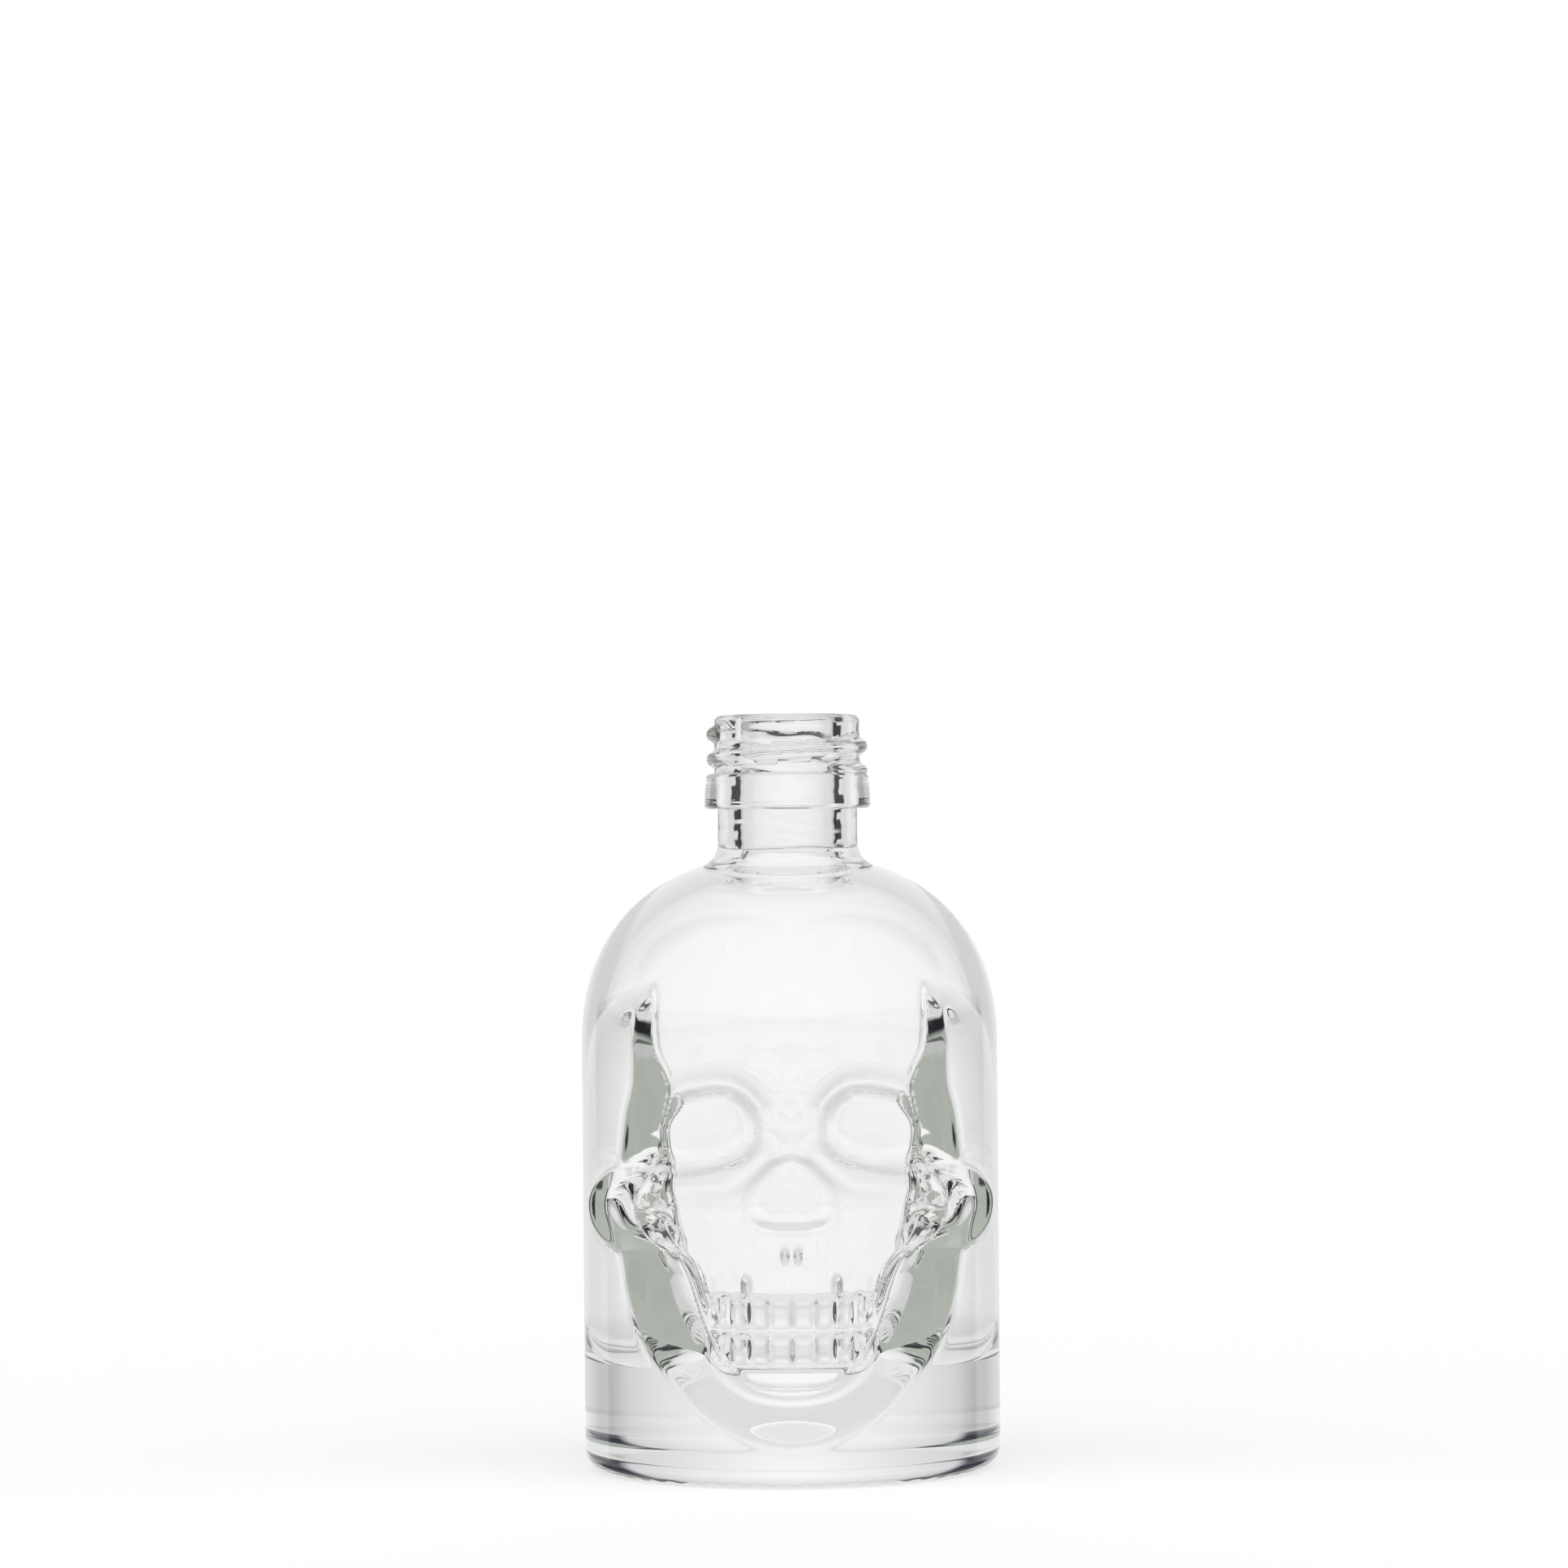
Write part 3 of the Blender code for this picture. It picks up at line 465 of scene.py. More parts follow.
def face_depth(x, z, ridges, hollows):
    """The face's surface, with shares of the height of its ridges and the depth of its hollows."""
    height_share = (z - CHIN_HEIGHT) / FACE_HEIGHT
    wider = smooth_step(height_share, *JAW_CURVE_SHARES)
    curve = JAW_CURVE_RADIUS + (FACE_CURVE_RADIUS - JAW_CURVE_RADIUS) * wider
    forehead = soft_positive(z - face_height(FOREHEAD_SHARE), BROW_WIDTH)
    plain = FACE_FRONT + FOREHEAD_SLOPE * forehead - x ** 2 / (2 * curve)
    brow = BROW_RISE * mound(distance_to_path(x, z, crest(BROW_SHARES)), BROW_WIDTH)
    socket_edge = socket_distance(x, z)
    eye = SOCKET_DEPTH * (1 - smooth_step(socket_edge, -SOCKET_SLOPE / 2, SOCKET_SLOPE / 2))
    bone_height = (z - face_height(NASAL_BONE_SHARE)) / NASAL_BONE_HALF_HEIGHT
    bone = NASAL_BONE_RISE * mound(x, NASAL_BONE_HALF_WIDTH)
    bone = bone * np.exp(-bone_height ** NASAL_BONE_SQUARENESS)
    nasal_edge = x - nasal_half_width(z)
    nose = NASAL_DEPTH * (1 - smooth_step(nasal_edge, -NASAL_SLOPE / 2, NASAL_SLOPE / 2))
    nose = nose * smooth_step(z, NASAL_BASE, NASAL_BASE + NASAL_FADE)
    nose = nose * (1 - smooth_step(z, NASAL_TOP - NASAL_FADE, NASAL_TOP))
    cheek = CHEEK_RISE * mound(distance_to_path(x, z, crest(CHEEK_SHARES)), CHEEK_WIDTH)
    hollow_x, hollow_z = face_point(*CHEEK_HOLLOW_SHARES)
    hollow = CHEEK_HOLLOW_DEPTH * mound(np.hypot(x - hollow_x, z - hollow_z), CHEEK_HOLLOW_SIZE)
    crease_away = distance_to_path(x, z, crest(JAW_CREASE_SHARES))
    crease = JAW_CREASE_DEPTH * mound(crease_away, JAW_CREASE_WIDTH)
    return plain + ridges * (brow + bone + cheek) - hollows * (eye + nose + hollow + crease)


def flank_drop(edge, z, radius):
    """How far the skull's side has fallen at a distance outside its edge, which is rounded."""
    under_chin = 1 - smooth_step((z - CHIN_HEIGHT) / FACE_HEIGHT, 0, CHIN_DRAFT_SHARE)
    draft = SKULL_DRAFT + (CHIN_DRAFT - SKULL_DRAFT) * under_chin
    turn = np.clip(edge + radius, 0, radius * np.cos(draft))
    beyond = np.maximum(edge + radius - turn, 0)
    return radius - np.sqrt(radius ** 2 - turn ** 2) + beyond / np.tan(draft)


def arch_distance(x, z, reach, radius):
    """Distance outside the cheekbone arch, a bar with a round end."""
    beyond = np.clip(x, ARCH_START, reach - radius)
    return np.hypot(x - beyond, z - ARCH_HEIGHT) - radius


def rim_half_width(z):
    """Half width of the pocket's rim with its bulge round the arch's end."""
    lift = np.minimum(np.abs(z - ARCH_HEIGHT), BULGE_RADIUS)
    bulge = BULGE_REACH - BULGE_RADIUS + np.sqrt(BULGE_RADIUS ** 2 - lift ** 2)
    return np.maximum(half_width_at(z, POCKET_PATH), np.where(lift < BULGE_RADIUS, bulge, 0))


def side_face(x, z):
    """Flat side of the cavity behind the pocket, which turns forwards above it."""
    above = soft_positive(z - face_height(SIDE_TOP_SHARE), SIDE_TOP_ROUND) * SIDE_TOP_SLOPE
    beyond = blend_max(x, FACE_HALF_WIDTH / 2, SIDE_TOP_ROUND) - FACE_HALF_WIDTH
    return FACE_FRONT - SIDE_SETBACK - SIDE_SLOPE * beyond + above


def pocket_depth(x, z):
    """The pocket round the skull: a straight slope in from its rim, above a floor."""
    rim = outline_distance(x, z, POCKET_PATH)
    rim = blend_min(rim, arch_distance(x, z, BULGE_REACH, BULGE_RADIUS), ARCH_ROUND)
    rim_depth = np.sqrt(np.maximum(body_radius_at(z) ** 2 - rim_half_width(z) ** 2, 0))
    wall = rim_depth + rim / math.tan(POCKET_DRAFT)
    return blend_max(np.minimum(wall, BODY_RADIUS * 2), side_face(x, z) + SIDE_WALL, POCKET_ROUND)


def outer_front(x, z):
    """Front surface of the glass at a side distance x and a height z."""
    x = np.abs(x)
    round_front = np.sqrt(np.maximum(body_radius_at(z) ** 2 - x ** 2, 0))
    edge = outline_distance(x, z, SKULL_PATH)
    edge = blend_min(edge, arch_distance(x, z, ARCH_REACH, ARCH_RADIUS), ARCH_ROUND)
    skull = face_depth(x, z, 1, 1) + teeth_rise(x, z) - flank_drop(edge, z, FACE_EDGE_RADIUS)
    front = blend_max(pocket_depth(x, z), skull, POCKET_ROUND)
    return np.clip(blend_min(round_front, front, POCKET_RIM_ROUND), 0, round_front)


def knob_hollow(x, z):
    """The cavity's wavy fold into the end of the cheekbone arch."""
    reach = ARCH_REACH - KNOB_WALL - KNOB_SHIFT
    outside = soft_positive(arch_distance(x, z, reach, ARCH_RADIUS - KNOB_WALL), KNOB_ROUND)
    along = KNOB_LEAN * z - (1 - KNOB_LEAN) * x
    across = KNOB_LEAN * x + (1 - KNOB_LEAN) * z
    sway = KNOB_SWAY * np.sin(across * KNOB_WAVES / 2)
    waves = KNOB_WAVE * np.sin((along + sway) * KNOB_WAVES)
    depth = face_depth(x, z, 0, 0) - KNOB_DEPTH - KNOB_SLOPE * outside + waves
    return np.where(x > FACE_HALF_WIDTH * KNOB_START, depth, 0)


def tooth_ribs(x, z):
    """Ribs of the cavity behind the side teeth."""
    ribs = np.zeros(np.shape(x))
    for base, length in TOOTH_ROWS:
        up = tooth_share(np.abs((z - base) / length - 0.5) * 2)
        for slope, inner, outer in zip(RIB_SLOPES, TOOTH_EDGES[:-1], TOOTH_EDGES[1:]):
            half = (outer - inner) / 2
            roof = np.clip(1 - np.abs(x - (inner + outer) / 2) / half, 0, 1)
            ribs = np.maximum(ribs, slope * half * roof * up)
    return ribs


def inner_front(x, z):
    """Front surface of the cavity, which widens from the skull back to the bottle's sides."""
    edge = outline_distance(x, z, SKULL_PATH) + FLANK_WALL
    skull = face_depth(x, z, INNER_RIDGE_SHARE, INNER_HOLLOW_SHARE) - FACE_WALL - tooth_ribs(x, z)
    skull = skull - flank_drop(edge, z, INNER_EDGE_RADIUS)
    skull = blend_max(skull, knob_hollow(x, z), KNOB_ROUND)
    return blend_max(skull, side_face(x, z), INNER_ROUND)


def inner_radius_at(angles, z, radius):
    """The cavity's radius towards angles from the front, within a round section."""
    x = np.linspace(0, BODY_RADIUS, SECTION_SAMPLES)
    front = inner_front(x, np.full(len(x), z))
    angle = np.maximum.accumulate(np.arctan2(x, front))
    reach = np.interp(np.abs(angles), angle, np.hypot(x, front), right=BODY_RADIUS)
    return np.maximum(blend_min(reach, radius, POCKET_ROUND / 2), 0)


def thread_rise(turn, z):
    """How far the thread stands out, at a turn from the left side round the back."""
    rise = np.zeros(np.shape(turn))
    end = THREAD_TURNS * 2 * math.pi + THREAD_RUN_ON
    for lap in range(THREAD_LAPS):
        along = turn + 2 * math.pi * lap
        along = np.where(along > end, along - 2 * math.pi * THREAD_LAPS, along)
        centre = THREAD_TOP - THREAD_PITCH * along / (2 * math.pi)
        part = np.clip(np.abs(z - centre) / THREAD_HALF_WIDTH, 0, 1)
        section = (1 - part ** THREAD_SHARPNESS) ** THREAD_ROUNDNESS
        fade = smooth_step(along, -THREAD_FADE, 0)
        rise = np.maximum(rise, THREAD_RISE * fade * section)
    return rise


def column_angles():
    """Angles from the front, from the left side round the front and then the back."""
    face = np.arcsin(np.linspace(0, FRONT_SHARE, FRONT_COLUMNS + 1))
    edge = np.linspace(face[-1], math.pi / 2, EDGE_COLUMNS + 1)[1:]
    half = np.concatenate([face, edge])
    back = np.linspace(math.pi / 2, math.pi * 3 / 2, BACK_COLUMNS + 1)[1:-1]
    return np.concatenate([-half[:0:-1], half, back])


ANGLES = column_angles()
FROM_LEFT = (-math.pi / 2 - ANGLES) % (2 * math.pi)


def round_row(radius, z):
    """A row of the surface round the axis, whose radius and height may vary with the angle."""
    z = np.broadcast_to(z, ANGLES.shape)
    return np.stack([radius * np.sin(ANGLES), -radius * np.cos(ANGLES), z], 1)


def pit_depth(x, z):
    """How deep the small pits of the face are."""
    depth = 0
    for side, height, half_width, half_height, deep in PITS:
        away = np.hypot((x - side) / half_width, (z - height) / half_height)
        depth = np.maximum(depth, deep * np.clip(1 - away, 0, 1))
    return depth


def body_row(radius, z):
    """A row of the outer surface with the skull and its pocket in front."""
    row = round_row(radius, z)
    front = np.abs(ANGLES) <= math.pi / 2
    x = row[front, 0]
    depth = outer_front(x, np.full(len(x), z)) - pit_depth(np.abs(x), z)
    row[front, 1] = -np.minimum(depth, -row[front, 1])
    return row


def cavity_row(radius, z):
    turned = (ANGLES + math.pi) % (2 * math.pi) - math.pi
    return round_row(inner_radius_at(turned, z, radius), z)


def knurl_lift():
    """How far the glass is lifted between the knurls."""
    gap = 0.5 - 0.5 * np.cos(ANGLES * KNURL_COUNT)
    return KNURL_HEIGHT * gap ** KNURL_SHARPNESS


def bearing_row(radius, z):
    """A row under the base, lifted between the knurls."""
    fade = BEARING_WIDTH * KNURL_FADE_SHARE
    under = smooth_step(radius, PUNT_RADIUS - fade, PUNT_RADIUS + fade)
    return round_row(radius, z + knurl_lift() * under)


def waver(z):
    """Waves of the glass inside the neck."""
    height, waves, sway, around = SLOW_WAVE
    slow = height * np.sin(z * waves + sway * np.sin(ANGLES * around))
    height, waves, sway, around = QUICK_WAVE
    return slow + height * np.sin(z * waves + sway * np.cos(ANGLES * around))


def rows_between(profile, step):
    """Points along a profile at about even distances."""
    profile = np.array(profile)
    length = np.concatenate([[0], np.cumsum(np.hypot(*np.diff(profile, axis=0).T))])
    places = np.linspace(0, length[-1], round(length[-1] / step) + 1)
    return np.stack([np.interp(places, length, profile[:, k]) for k in (0, 1)], 1)


def base_rows():
    rows = []
    for radius in np.linspace(CENTRE_RADIUS, PUNT_RADIUS - PUNT_SLOPE_RUN, PUNT_ROWS):
        rows.append(bearing_row(radius, PUNT_RISE))
    for part in np.linspace(0, 1, PUNT_SLOPE_ROWS)[1:]:
        z = PUNT_RISE * (1 - smooth_step(part, 0, 1))
        rows.append(bearing_row(PUNT_RADIUS - PUNT_SLOPE_RUN * (1 - part), z))
    for radius in np.linspace(PUNT_RADIUS, BEARING_RADIUS, BEARING_ROWS)[1:]:
        rows.append(bearing_row(radius, 0.0))
    for turn in np.linspace(0, math.pi / 2, HEEL_ROWS)[1:]:
        z = HEEL_FILLET_RADIUS * (1 - math.cos(turn))
        radius = BEARING_RADIUS + HEEL_FILLET_RADIUS * math.sin(turn)
        lift = knurl_lift() * (1 - smooth_step(turn, 0, KNURL_HEEL_TURN))
        rows.append(round_row(radius, z + lift))
    return rows


def outer_rows():
    rows = base_rows()
    count = round((FACE_TOP - HEEL_FILLET_RADIUS) / FACE_ROW)
    for z in np.linspace(HEEL_FILLET_RADIUS, FACE_TOP, count + 1)[1:]:
        rows.append(body_row(float(body_radius_at(z)), float(z)))
    top = float(body_radius_at(FACE_TOP))
    touch = neck_fillet()[0][0]
    shoulder = [(radius, float(shoulder_height(radius)))
                for radius in np.linspace(top, touch, SHOULDER_SAMPLES)]
    for radius, z in rows_between(shoulder, SHOULDER_ROW)[1:-1]:
        rows.append(round_row(radius, z))
    for radius, z in rows_between(finish_profile(), FINISH_ROW):
        on_wall = smooth_step(z, RING_TOP - RING_FILLET_RADIUS, RING_TOP)
        on_wall = on_wall * (z < HEIGHT - LIP_FILLET_RADIUS / 2)
        thread = (FINISH_RADIUS + thread_rise(FROM_LEFT, z)) * on_wall
        rows.append(round_row(np.maximum(radius, thread), z))
    return rows


def inner_rows():
    rows = []
    for radius, z in rows_between(bore_profile(), BORE_ROW):
        rows.append(round_row(radius + waver(z) * (z < HEIGHT - 2 * LIP_FILLET_RADIUS), z))
    start, end = BORE_RADIUS + BORE_FLARE_RADIUS, INNER_RADIUS * DOME_SHARE
    dome = [(radius, float(inner_dome_height(radius)))
            for radius in np.linspace(start, end, DOME_SAMPLES)]
    for radius, z in rows_between(dome, DOME_ROW)[1:]:
        rows.append(cavity_row(radius, z))
    floor_top = BASE_THICKNESS + FLOOR_CORNER_RADIUS
    top = dome[-1][1]
    for z in np.linspace(top, floor_top, round((top - floor_top) / CAVITY_ROW) + 1)[1:]:
        rows.append(cavity_row(float(min(INNER_RADIUS, body_radius_at(z) - WALL)), float(z)))
    centre = INNER_RADIUS - FLOOR_CORNER_RADIUS
    for radius, z in arc(centre, floor_top, FLOOR_CORNER_RADIUS, 0, -1, FLOOR_CORNER_ROWS)[1:]:
        rows.append(cavity_row(radius, z))
    for radius in np.linspace(centre, CENTRE_RADIUS, FLOOR_ROWS)[1:]:
        rows.append(cavity_row(radius, BASE_THICKNESS))
    return rows


def build_glass():
    rows = outer_rows() + inner_rows()
    count = len(ANGLES)
    here = np.arange(count)
    after = (here + 1) % count
    faces = []
    for start in range(0, (len(rows) - 1) * count, count):
        above = start + count
        faces += np.stack([start + here, start + after, above + after, above + here], 1).tolist()
    vertices = np.vstack(rows).tolist()
    vertices += [(0.0, 0.0, rows[0][0, 2]), (0.0, 0.0, rows[-1][0, 2])]
    last = (len(rows) - 1) * count
    foot = len(vertices) - 2
    for one, other in zip(here.tolist(), after.tolist()):
        faces.append((foot, other, one))
        faces.append((last + one, last + other, foot + 1))
    mesh = bpy.data.meshes.new("moulded_glass")
    mesh.from_pydata(vertices, [], faces)
    mesh.shade_smooth()
    mesh.set_sharp_from_angle(angle=SHARP_ANGLE)
    glass = bpy.data.objects.new("moulded_glass", mesh)
    bpy.context.scene.collection.objects.link(glass)
    return glass


def link(tree, source, target):
    tree.links.new(source, target)


def math_node(tree, operation, *values):
    node = tree.nodes.new("ShaderNodeMath")
    node.operation = operation
    for socket, value in zip(node.inputs, values):
        if isinstance(value, (int, float)):
            socket.default_value = value
        else:
            link(tree, value, socket)
    return node.outputs[0]


def mix_shaders(tree, part, first, second):
    mix = tree.nodes.new("ShaderNodeMixShader")
    link(tree, part, mix.inputs["Fac"])
    link(tree, first, mix.inputs[1])
    link(tree, second, mix.inputs[2])
    return mix.outputs["Shader"]


# The glass: a trace of haze on its skin and a faint green inside. After more than one reflection
# light leaves it straight on.
GLASS_IOR = 1.52
SKIN_SCALE = 260.0
SKIN_DETAIL = 2.0
HAZE_RANGE = (0.62, 0.80)
HAZE_ROUGHNESS = (0.0, 0.03)
GLASS_TINT = (0.80, 0.93, 0.84, 1.0)
GLASS_DENSITY = 2.0
PLAIN_WHITE = (1.0, 1.0, 1.0, 1.0)

# Limits of a light path's depth: reflected once or more, reflected twice or more, and no more than
# the two surfaces of solid glass passed
REFLECTED_ONCE = 0.5
REFLECTED_TWICE = 1.5
PASSED_SOLID_GLASS = 2.5


def glass_material():
    material = bpy.data.materials.new("clear_glass_fine")
    material.use_nodes = True
    tree = material.node_tree
    shader = tree.nodes["Principled BSDF"]
    shader.inputs["Base Color"].default_value = PLAIN_WHITE
    shader.inputs["IOR"].default_value = GLASS_IOR
    shader.inputs["Transmission Weight"].default_value = 1.0
    place = tree.nodes.new("ShaderNodeTexCoord")
    skin = tree.nodes.new("ShaderNodeTexNoise")
    skin.inputs["Scale"].default_value = SKIN_SCALE
    skin.inputs["Detail"].default_value = SKIN_DETAIL
    link(tree, place.outputs["Object"], skin.inputs["Vector"])
    haze = tree.nodes.new("ShaderNodeMapRange")
    haze.inputs["From Min"].default_value = HAZE_RANGE[0]
    haze.inputs["From Max"].default_value = HAZE_RANGE[1]
    haze.inputs["To Min"].default_value = HAZE_ROUGHNESS[0]
    haze.inputs["To Max"].default_value = HAZE_ROUGHNESS[1]
    link(tree, skin.outputs["Fac"], haze.inputs["Value"])
    link(tree, haze.outputs["Result"], shader.inputs["Roughness"])
    path = tree.nodes.new("ShaderNodeLightPath")
    clear = tree.nodes.new("ShaderNodeBsdfTransparent")
    trapped = math_node(tree, "GREATER_THAN", path.outputs["Glossy Depth"], REFLECTED_TWICE)
    mixed = mix_shaders(tree, trapped, shader.outputs["BSDF"], clear.outputs["BSDF"])
    link(tree, mixed, tree.nodes["Material Output"].inputs["Surface"])
    absorption = tree.nodes.new("ShaderNodeVolumeAbsorption")
    absorption.inputs["Color"].default_value = GLASS_TINT
    absorption.inputs["Density"].default_value = GLASS_DENSITY
    link(tree, absorption.outputs["Volume"], tree.nodes["Material Output"].inputs["Volume"])
    return material


# Colours of the studio that the glass shows, a single number being a plain grey
WHITE = (1.0, 0.99, 1.0)
BLACK = (0.015, 0.015, 0.02)
GREEN_GREY = (0.41, 0.44, 0.395)
DARK = (0.10, 0.11, 0.10)
CARD_EDGE = (0.36, 0.39, 0.35)
CARD_SIDE = (0.52, 0.53, 0.52)
SHADED = (0.04, 0.04, 0.06)

# What light reflected in the glass finds round the bottle, by the degrees from straight behind it:
# at the level, high up, a little below the level and further down
LEVEL_BAND = (
    (0, WHITE), (40, (0.95, 0.94, 0.95)), (46, BLACK), (70, BLACK), (76, CARD_EDGE),
    (84, GREEN_GREY), (112, GREEN_GREY), (122, DARK), (180, DARK),
)
UPPER_BAND = ((0, WHITE), (60, (0.88, 0.88, 0.89)), (120, 0.80), (180, 0.75))
MIDDLE_BAND = (
    (0, WHITE), (38, (0.90, 0.89, 0.90)), (46, (0.84, 0.83, 0.84)), (55, 0.80), (59, BLACK),
    (68, BLACK), (76, CARD_EDGE), (86, GREEN_GREY), (112, GREEN_GREY), (125, 0.50), (180, 0.60),
)
LOWER_BAND = (
    (0, WHITE), (24, (0.86, 0.85, 0.86)), (30, BLACK), (52, BLACK), (58, CARD_SIDE),
    (78, CARD_SIDE), (86, GREEN_GREY), (112, GREEN_GREY), (125, 0.50), (180, 0.60),
)

# The same for light reflected twice or more: round the level, above it, and far up or down
TWICE_BAND = (
    (0, WHITE), (31, 0.90), (35, BLACK), (44, BLACK), (49, GREEN_GREY), (112, GREEN_GREY),
    (122, DARK), (180, DARK),
)
ABOVE_BAND = (
    (0, WHITE), (38, 0.90), (46, GREEN_GREY), (51, BLACK), (68, BLACK), (73, GREEN_GREY),
    (88, GREEN_GREY), (100, 0.80), (180, 0.80),
)
PALE_BAND = ((0, (0.86, 0.85, 0.86)), (180, 0.80))

# What light finds that was never reflected
SCREEN_BAND = ((0, WHITE), (180, WHITE))

# Limits by the angle in any direction from straight behind the bottle, where the screen is
# brightest: for reflected light, for unreflected light, and for that through solid glass alone,
# below the level and above it
SCREEN_FALL = (
    (0, WHITE), (6, (0.98, 0.97, 0.98)), (14, (0.90, 0.89, 0.90)), (26, (0.79, 0.78, 0.79)),
    (45, (0.70, 0.69, 0.70)), (60, 0.80),
)
GLOW = (*SCREEN_FALL, (180, 0.80))
SCREEN_GLOW = (*SCREEN_FALL, (80, 0.95), (180, 0.95))
SOLID_GLOW = (
    (0, WHITE), (6, (0.98, 0.97, 0.98)), (14, (0.92, 0.91, 0.92)), (26, (0.82, 0.81, 0.82)),
    (40, (0.68, 0.67, 0.69)), (50, (0.52, 0.52, 0.54)), (60, (0.52, 0.52, 0.53)), (76, 0.78),
    (90, 0.92), (108, 0.86), (130, (0.55, 0.55, 0.56)), (150, 0.80), (180, 0.92),
)
SOLID_LEVEL_GLOW = (
    (0, WHITE), (14, (0.92, 0.91, 0.92)), (26, (0.82, 0.81, 0.82)), (40, (0.68, 0.67, 0.69)),
    (46, SHADED), (72, SHADED), (80, 0.70), (92, 0.92), (180, 0.92),
)

# Degrees above the level over which one band changes to the next
UPPER_FADE = (48, 58)
MIDDLE_FADE = (-2.5, -5)
LOWER_FADE = (-16, -22)
PALE_LOW_FADE = (-46, -50)
ABOVE_FADE = (17, 21)
PALE_HIGH_FADE = (37, 42)
SOLID_LEVEL_FADE = (-3, -1)
RISEN_FADE = (5, 8)


def opaque(colour):
    """A colour with its opacity, from three numbers or one for a plain grey."""
    return (colour, colour, colour, 1) if isinstance(colour, float) else (*colour, 1)


def band(tree, turn, stops):
    """The colour at a share of the half turn from straight behind, from stops in degrees."""
    node = tree.nodes.new("ShaderNodeValToRGB")
    elements = node.color_ramp.elements
    elements.remove(elements[-1])
    elements[0].color = opaque(stops[0][1])
    for degrees, colour in stops[1:]:
        elements.new(degrees / 180).color = opaque(colour)
    link(tree, turn, node.inputs["Fac"])
    return node.outputs["Color"]


def blend(tree, part, first, second, kind="MIX"):
    """Mix two colours."""
    mix = tree.nodes.new("ShaderNodeMix")
    mix.data_type = "RGBA"
    mix.blend_type = kind
    if isinstance(part, float):
        mix.inputs["Factor"].default_value = part
    else:
        link(tree, part, mix.inputs["Factor"])
    colours = [socket for socket in mix.inputs if socket.type == "RGBA"]
    link(tree, first, colours[0])
    link(tree, second, colours[1])
    return next(socket for socket in mix.outputs if socket.type == "RGBA")


def part_above(tree, height, fade):
    """From 0 to 1 between two angles above the level, in degrees."""
    part = tree.nodes.new("ShaderNodeMapRange")
    part.inputs["From Min"].default_value = math.radians(fade[0])
    part.inputs["From Max"].default_value = math.radians(fade[1])
    link(tree, height, part.inputs["Value"])
    return part.outputs["Result"]


def fade_to(tree, first, second, height, fade):
    """Change from one colour to another between two angles above the level, in degrees."""
    return blend(tree, part_above(tree, height, fade), first, second)


def glow(tree, colour, behind, stops):
    """Keep a colour under the limits that go with the angle from straight behind the bottle."""
    angle = math_node(tree, "DIVIDE", math_node(tree, "ARCCOSINE", behind), math.pi)
    return blend(tree, 1.0, colour, band(tree, angle, stops), "DARKEN")


def reflected_colour(tree, turn, height, twice):
    """What reflected light finds, by how often it was reflected."""
    colour = fade_to(tree, band(tree, turn, LEVEL_BAND), band(tree, turn, UPPER_BAND),
                     height, UPPER_FADE)
    for stops, fade in ((MIDDLE_BAND, MIDDLE_FADE), (LOWER_BAND, LOWER_FADE)):
        colour = fade_to(tree, colour, band(tree, turn, stops), height, fade)
    deep = band(tree, turn, TWICE_BAND)
    for stops, fade in ((PALE_BAND, PALE_LOW_FADE), (ABOVE_BAND, ABOVE_FADE),
                        (PALE_BAND, PALE_HIGH_FADE)):
        deep = fade_to(tree, deep, band(tree, turn, stops), height, fade)
    return blend(tree, twice, colour, deep)


def studio_colour(tree, parts, seen):
    """What light finds in the studio, by its direction and by how it came through the glass."""
    behind = parts.outputs["Y"]
    turn = math_node(tree, "ABSOLUTE", math_node(tree, "ARCTAN2", parts.outputs["X"], behind))
    turn = math_node(tree, "DIVIDE", turn, math.pi)
    height = math_node(tree, "ARCSINE", parts.outputs["Z"])
    twice = math_node(tree, "GREATER_THAN", seen.outputs["Glossy Depth"], REFLECTED_TWICE)
    colour = glow(tree, reflected_colour(tree, turn, height, twice), behind, GLOW)
    white = band(tree, turn, SCREEN_BAND)
    screen = glow(tree, white, behind, SCREEN_GLOW)
    solid = math_node(tree, "LESS_THAN", seen.outputs["Transmission Depth"], PASSED_SOLID_GLASS)
    through = glow(tree, white, behind, SOLID_GLOW)
    level = glow(tree, white, behind, SOLID_LEVEL_GLOW)
    through = fade_to(tree, through, level, height, SOLID_LEVEL_FADE)
    risen = math_node(tree, "MULTIPLY", solid, part_above(tree, height, RISEN_FADE))
    risen = math_node(tree, "MULTIPLY", risen, math_node(tree, "SUBTRACT", 1.0, twice))
    colour = blend(tree, risen, colour, screen)
    screen = blend(tree, solid, screen, through)
    reflected = math_node(tree, "GREATER_THAN", seen.outputs["Glossy Depth"], REFLECTED_ONCE)
    return blend(tree, reflected, screen, colour)


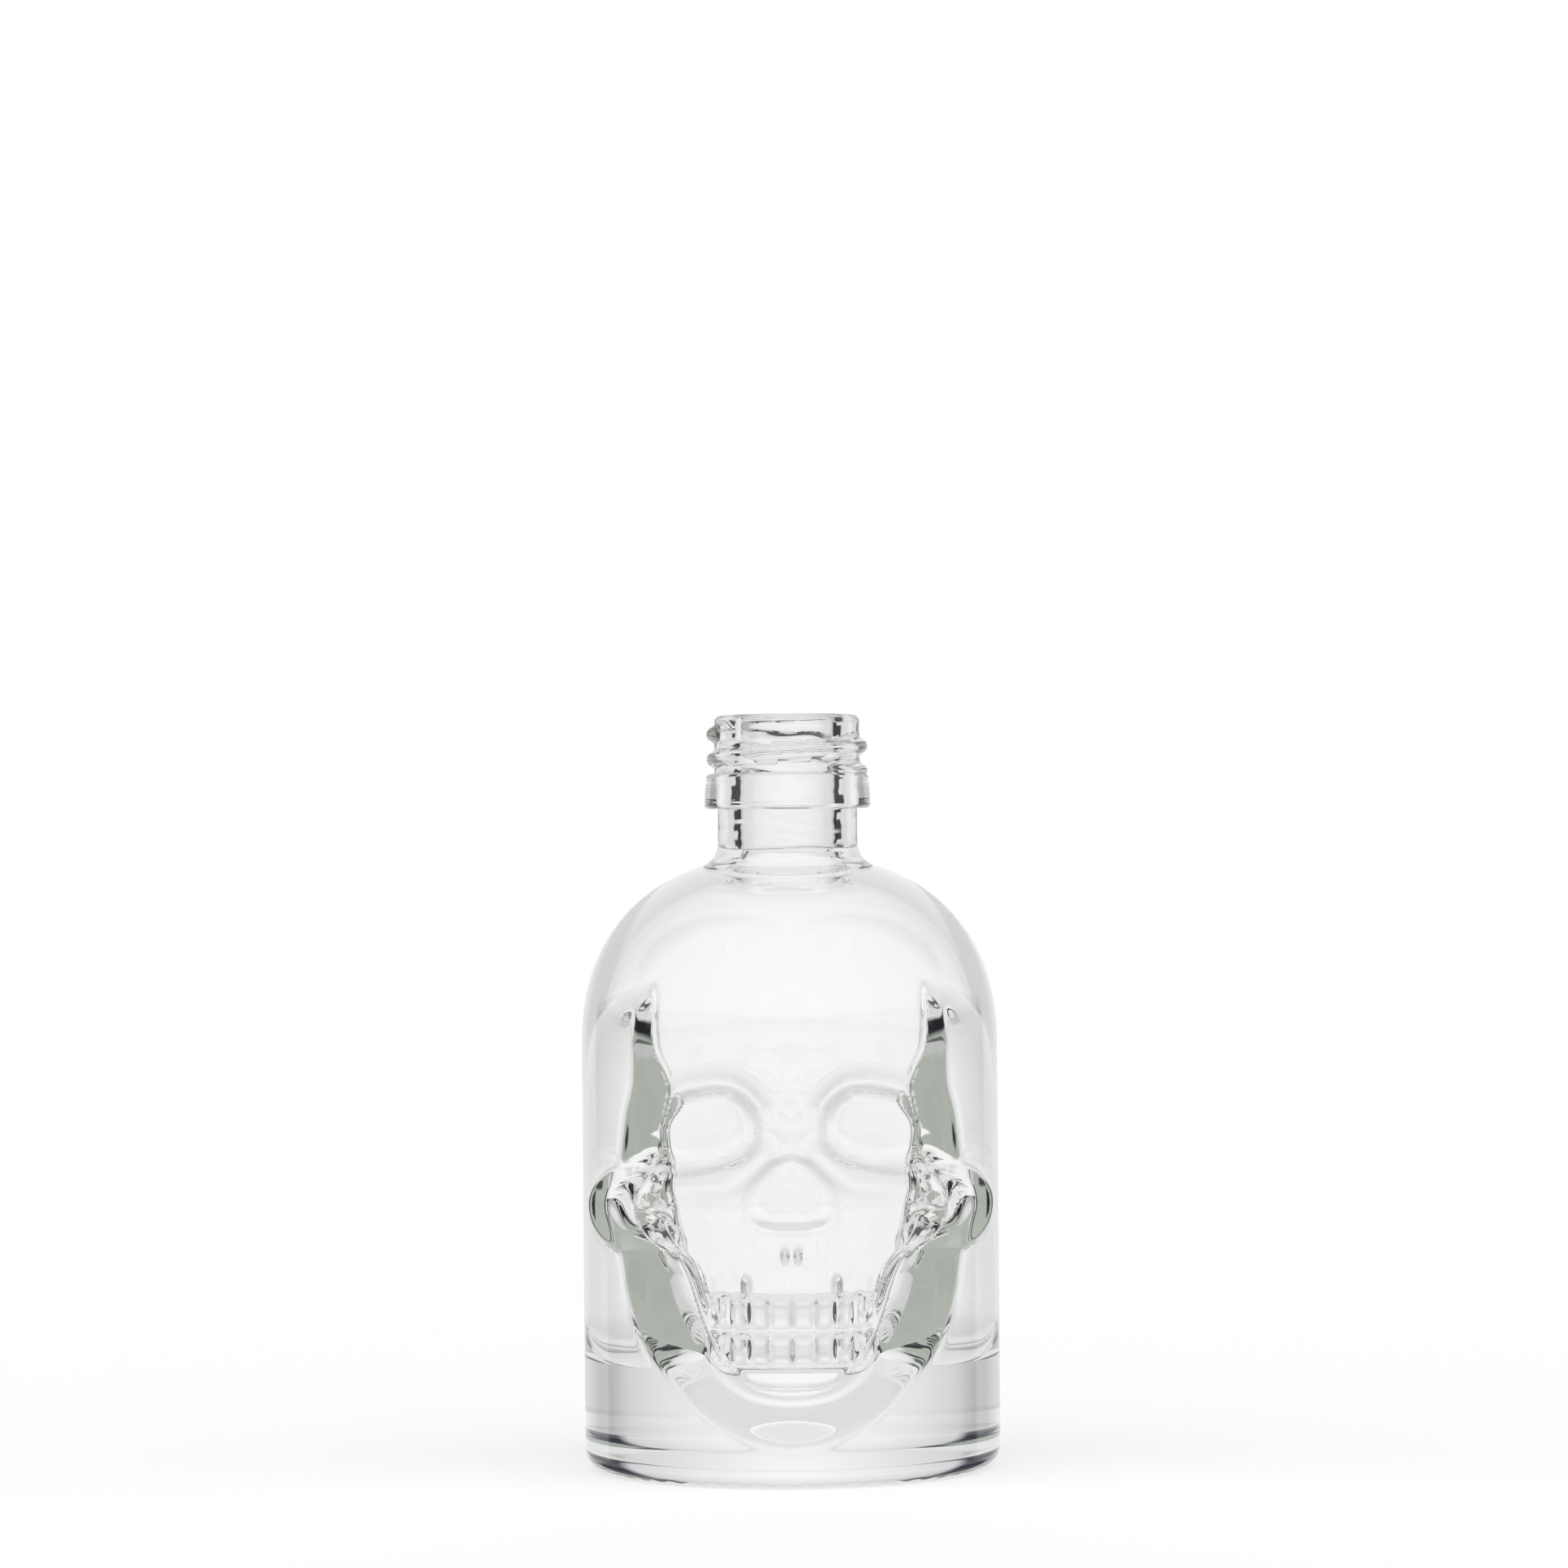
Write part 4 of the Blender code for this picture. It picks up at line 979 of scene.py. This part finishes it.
def studio_world():
    """The studio for light in the scene, and plain white for the camera."""
    world = bpy.data.worlds.new("studio")
    bpy.context.scene.world = world
    world.use_nodes = True
    tree = world.node_tree
    tree.nodes.clear()
    place = tree.nodes.new("ShaderNodeTexCoord")
    parts = tree.nodes.new("ShaderNodeSeparateXYZ")
    link(tree, place.outputs["Generated"], parts.inputs["Vector"])
    seen = tree.nodes.new("ShaderNodeLightPath")
    studio = tree.nodes.new("ShaderNodeBackground")
    link(tree, studio_colour(tree, parts, seen), studio.inputs["Color"])
    backdrop = tree.nodes.new("ShaderNodeBackground")
    backdrop.inputs["Color"].default_value = PLAIN_WHITE
    mixed = mix_shaders(tree, seen.outputs["Is Camera Ray"], studio.outputs["Background"],
                        backdrop.outputs["Background"])
    output = tree.nodes.new("ShaderNodeOutputWorld")
    link(tree, mixed, output.inputs["Surface"])


# The floor, which only the camera sees. Its glow and the light on it are just white together, so
# that the bottle's shadow still shows.
FLOOR_HALF_SIZE = 3.0
FLOOR_SINK = 0.00002
FLOOR_COLOUR = (0.8, 0.8, 0.8, 1.0)
FLOOR_ROUGHNESS = 0.6
FLOOR_GLOW = 0.48


def floor_material():
    material = bpy.data.materials.new("pale_floor")
    material.use_nodes = True
    tree = material.node_tree
    shader = tree.nodes["Principled BSDF"]
    shader.inputs["Base Color"].default_value = FLOOR_COLOUR
    shader.inputs["Roughness"].default_value = FLOOR_ROUGHNESS
    shader.inputs["Specular IOR Level"].default_value = 0.0
    shader.inputs["Emission Color"].default_value = PLAIN_WHITE
    seen = tree.nodes.new("ShaderNodeLightPath").outputs["Is Camera Ray"]
    shine = math_node(tree, "MULTIPLY", seen, FLOOR_GLOW)
    link(tree, shine, shader.inputs["Emission Strength"])
    clear = tree.nodes.new("ShaderNodeBsdfTransparent")
    mixed = mix_shaders(tree, seen, clear.outputs["BSDF"], shader.outputs["BSDF"])
    link(tree, mixed, tree.nodes["Material Output"].inputs["Surface"])
    return material


def build_floor():
    corners = [(-1, -1), (1, -1), (1, 1), (-1, 1)]
    mesh = bpy.data.meshes.new("studio_floor")
    points = [(x * FLOOR_HALF_SIZE, y * FLOOR_HALF_SIZE, -FLOOR_SINK) for x, y in corners]
    mesh.from_pydata(points, [], [(0, 1, 2, 3)])
    floor = bpy.data.objects.new("studio_floor", mesh)
    bpy.context.scene.collection.objects.link(floor)
    mesh.materials.append(floor_material())


# The camera: the photograph's pixels across, the size of one at the bottle, and the horizon's row
PHOTO_PIXELS = 1932
PIXEL_SIZE = 0.0000892
HORIZON_ROW = 1030
CAMERA_DISTANCE = 0.602
CAMERA_HEIGHT = 0.0692
CAMERA_SIDE = -0.0004
CAMERA_ROLL = math.radians(0.5)
SENSOR_WIDTH = 36.0
CLIP_START = 0.01


def add_camera():
    lens = bpy.data.cameras.new("camera")
    camera = bpy.data.objects.new("camera", lens)
    bpy.context.scene.collection.objects.link(camera)
    camera.location = (CAMERA_SIDE, -CAMERA_DISTANCE, CAMERA_HEIGHT)
    camera.rotation_euler = (math.pi / 2, CAMERA_ROLL, 0)
    lens.sensor_width = SENSOR_WIDTH
    lens.lens = SENSOR_WIDTH * CAMERA_DISTANCE / (PHOTO_PIXELS * PIXEL_SIZE)
    lens.shift_y = (HORIZON_ROW - PHOTO_PIXELS / 2) / PHOTO_PIXELS
    lens.clip_start = CLIP_START
    bpy.context.scene.camera = camera


glass = build_glass()
glass.data.materials.append(glass_material())
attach(glass, "root")
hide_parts("glass_bottle")
build_floor()
studio_world()
add_camera()
bpy.context.scene.view_settings.view_transform = "Standard"
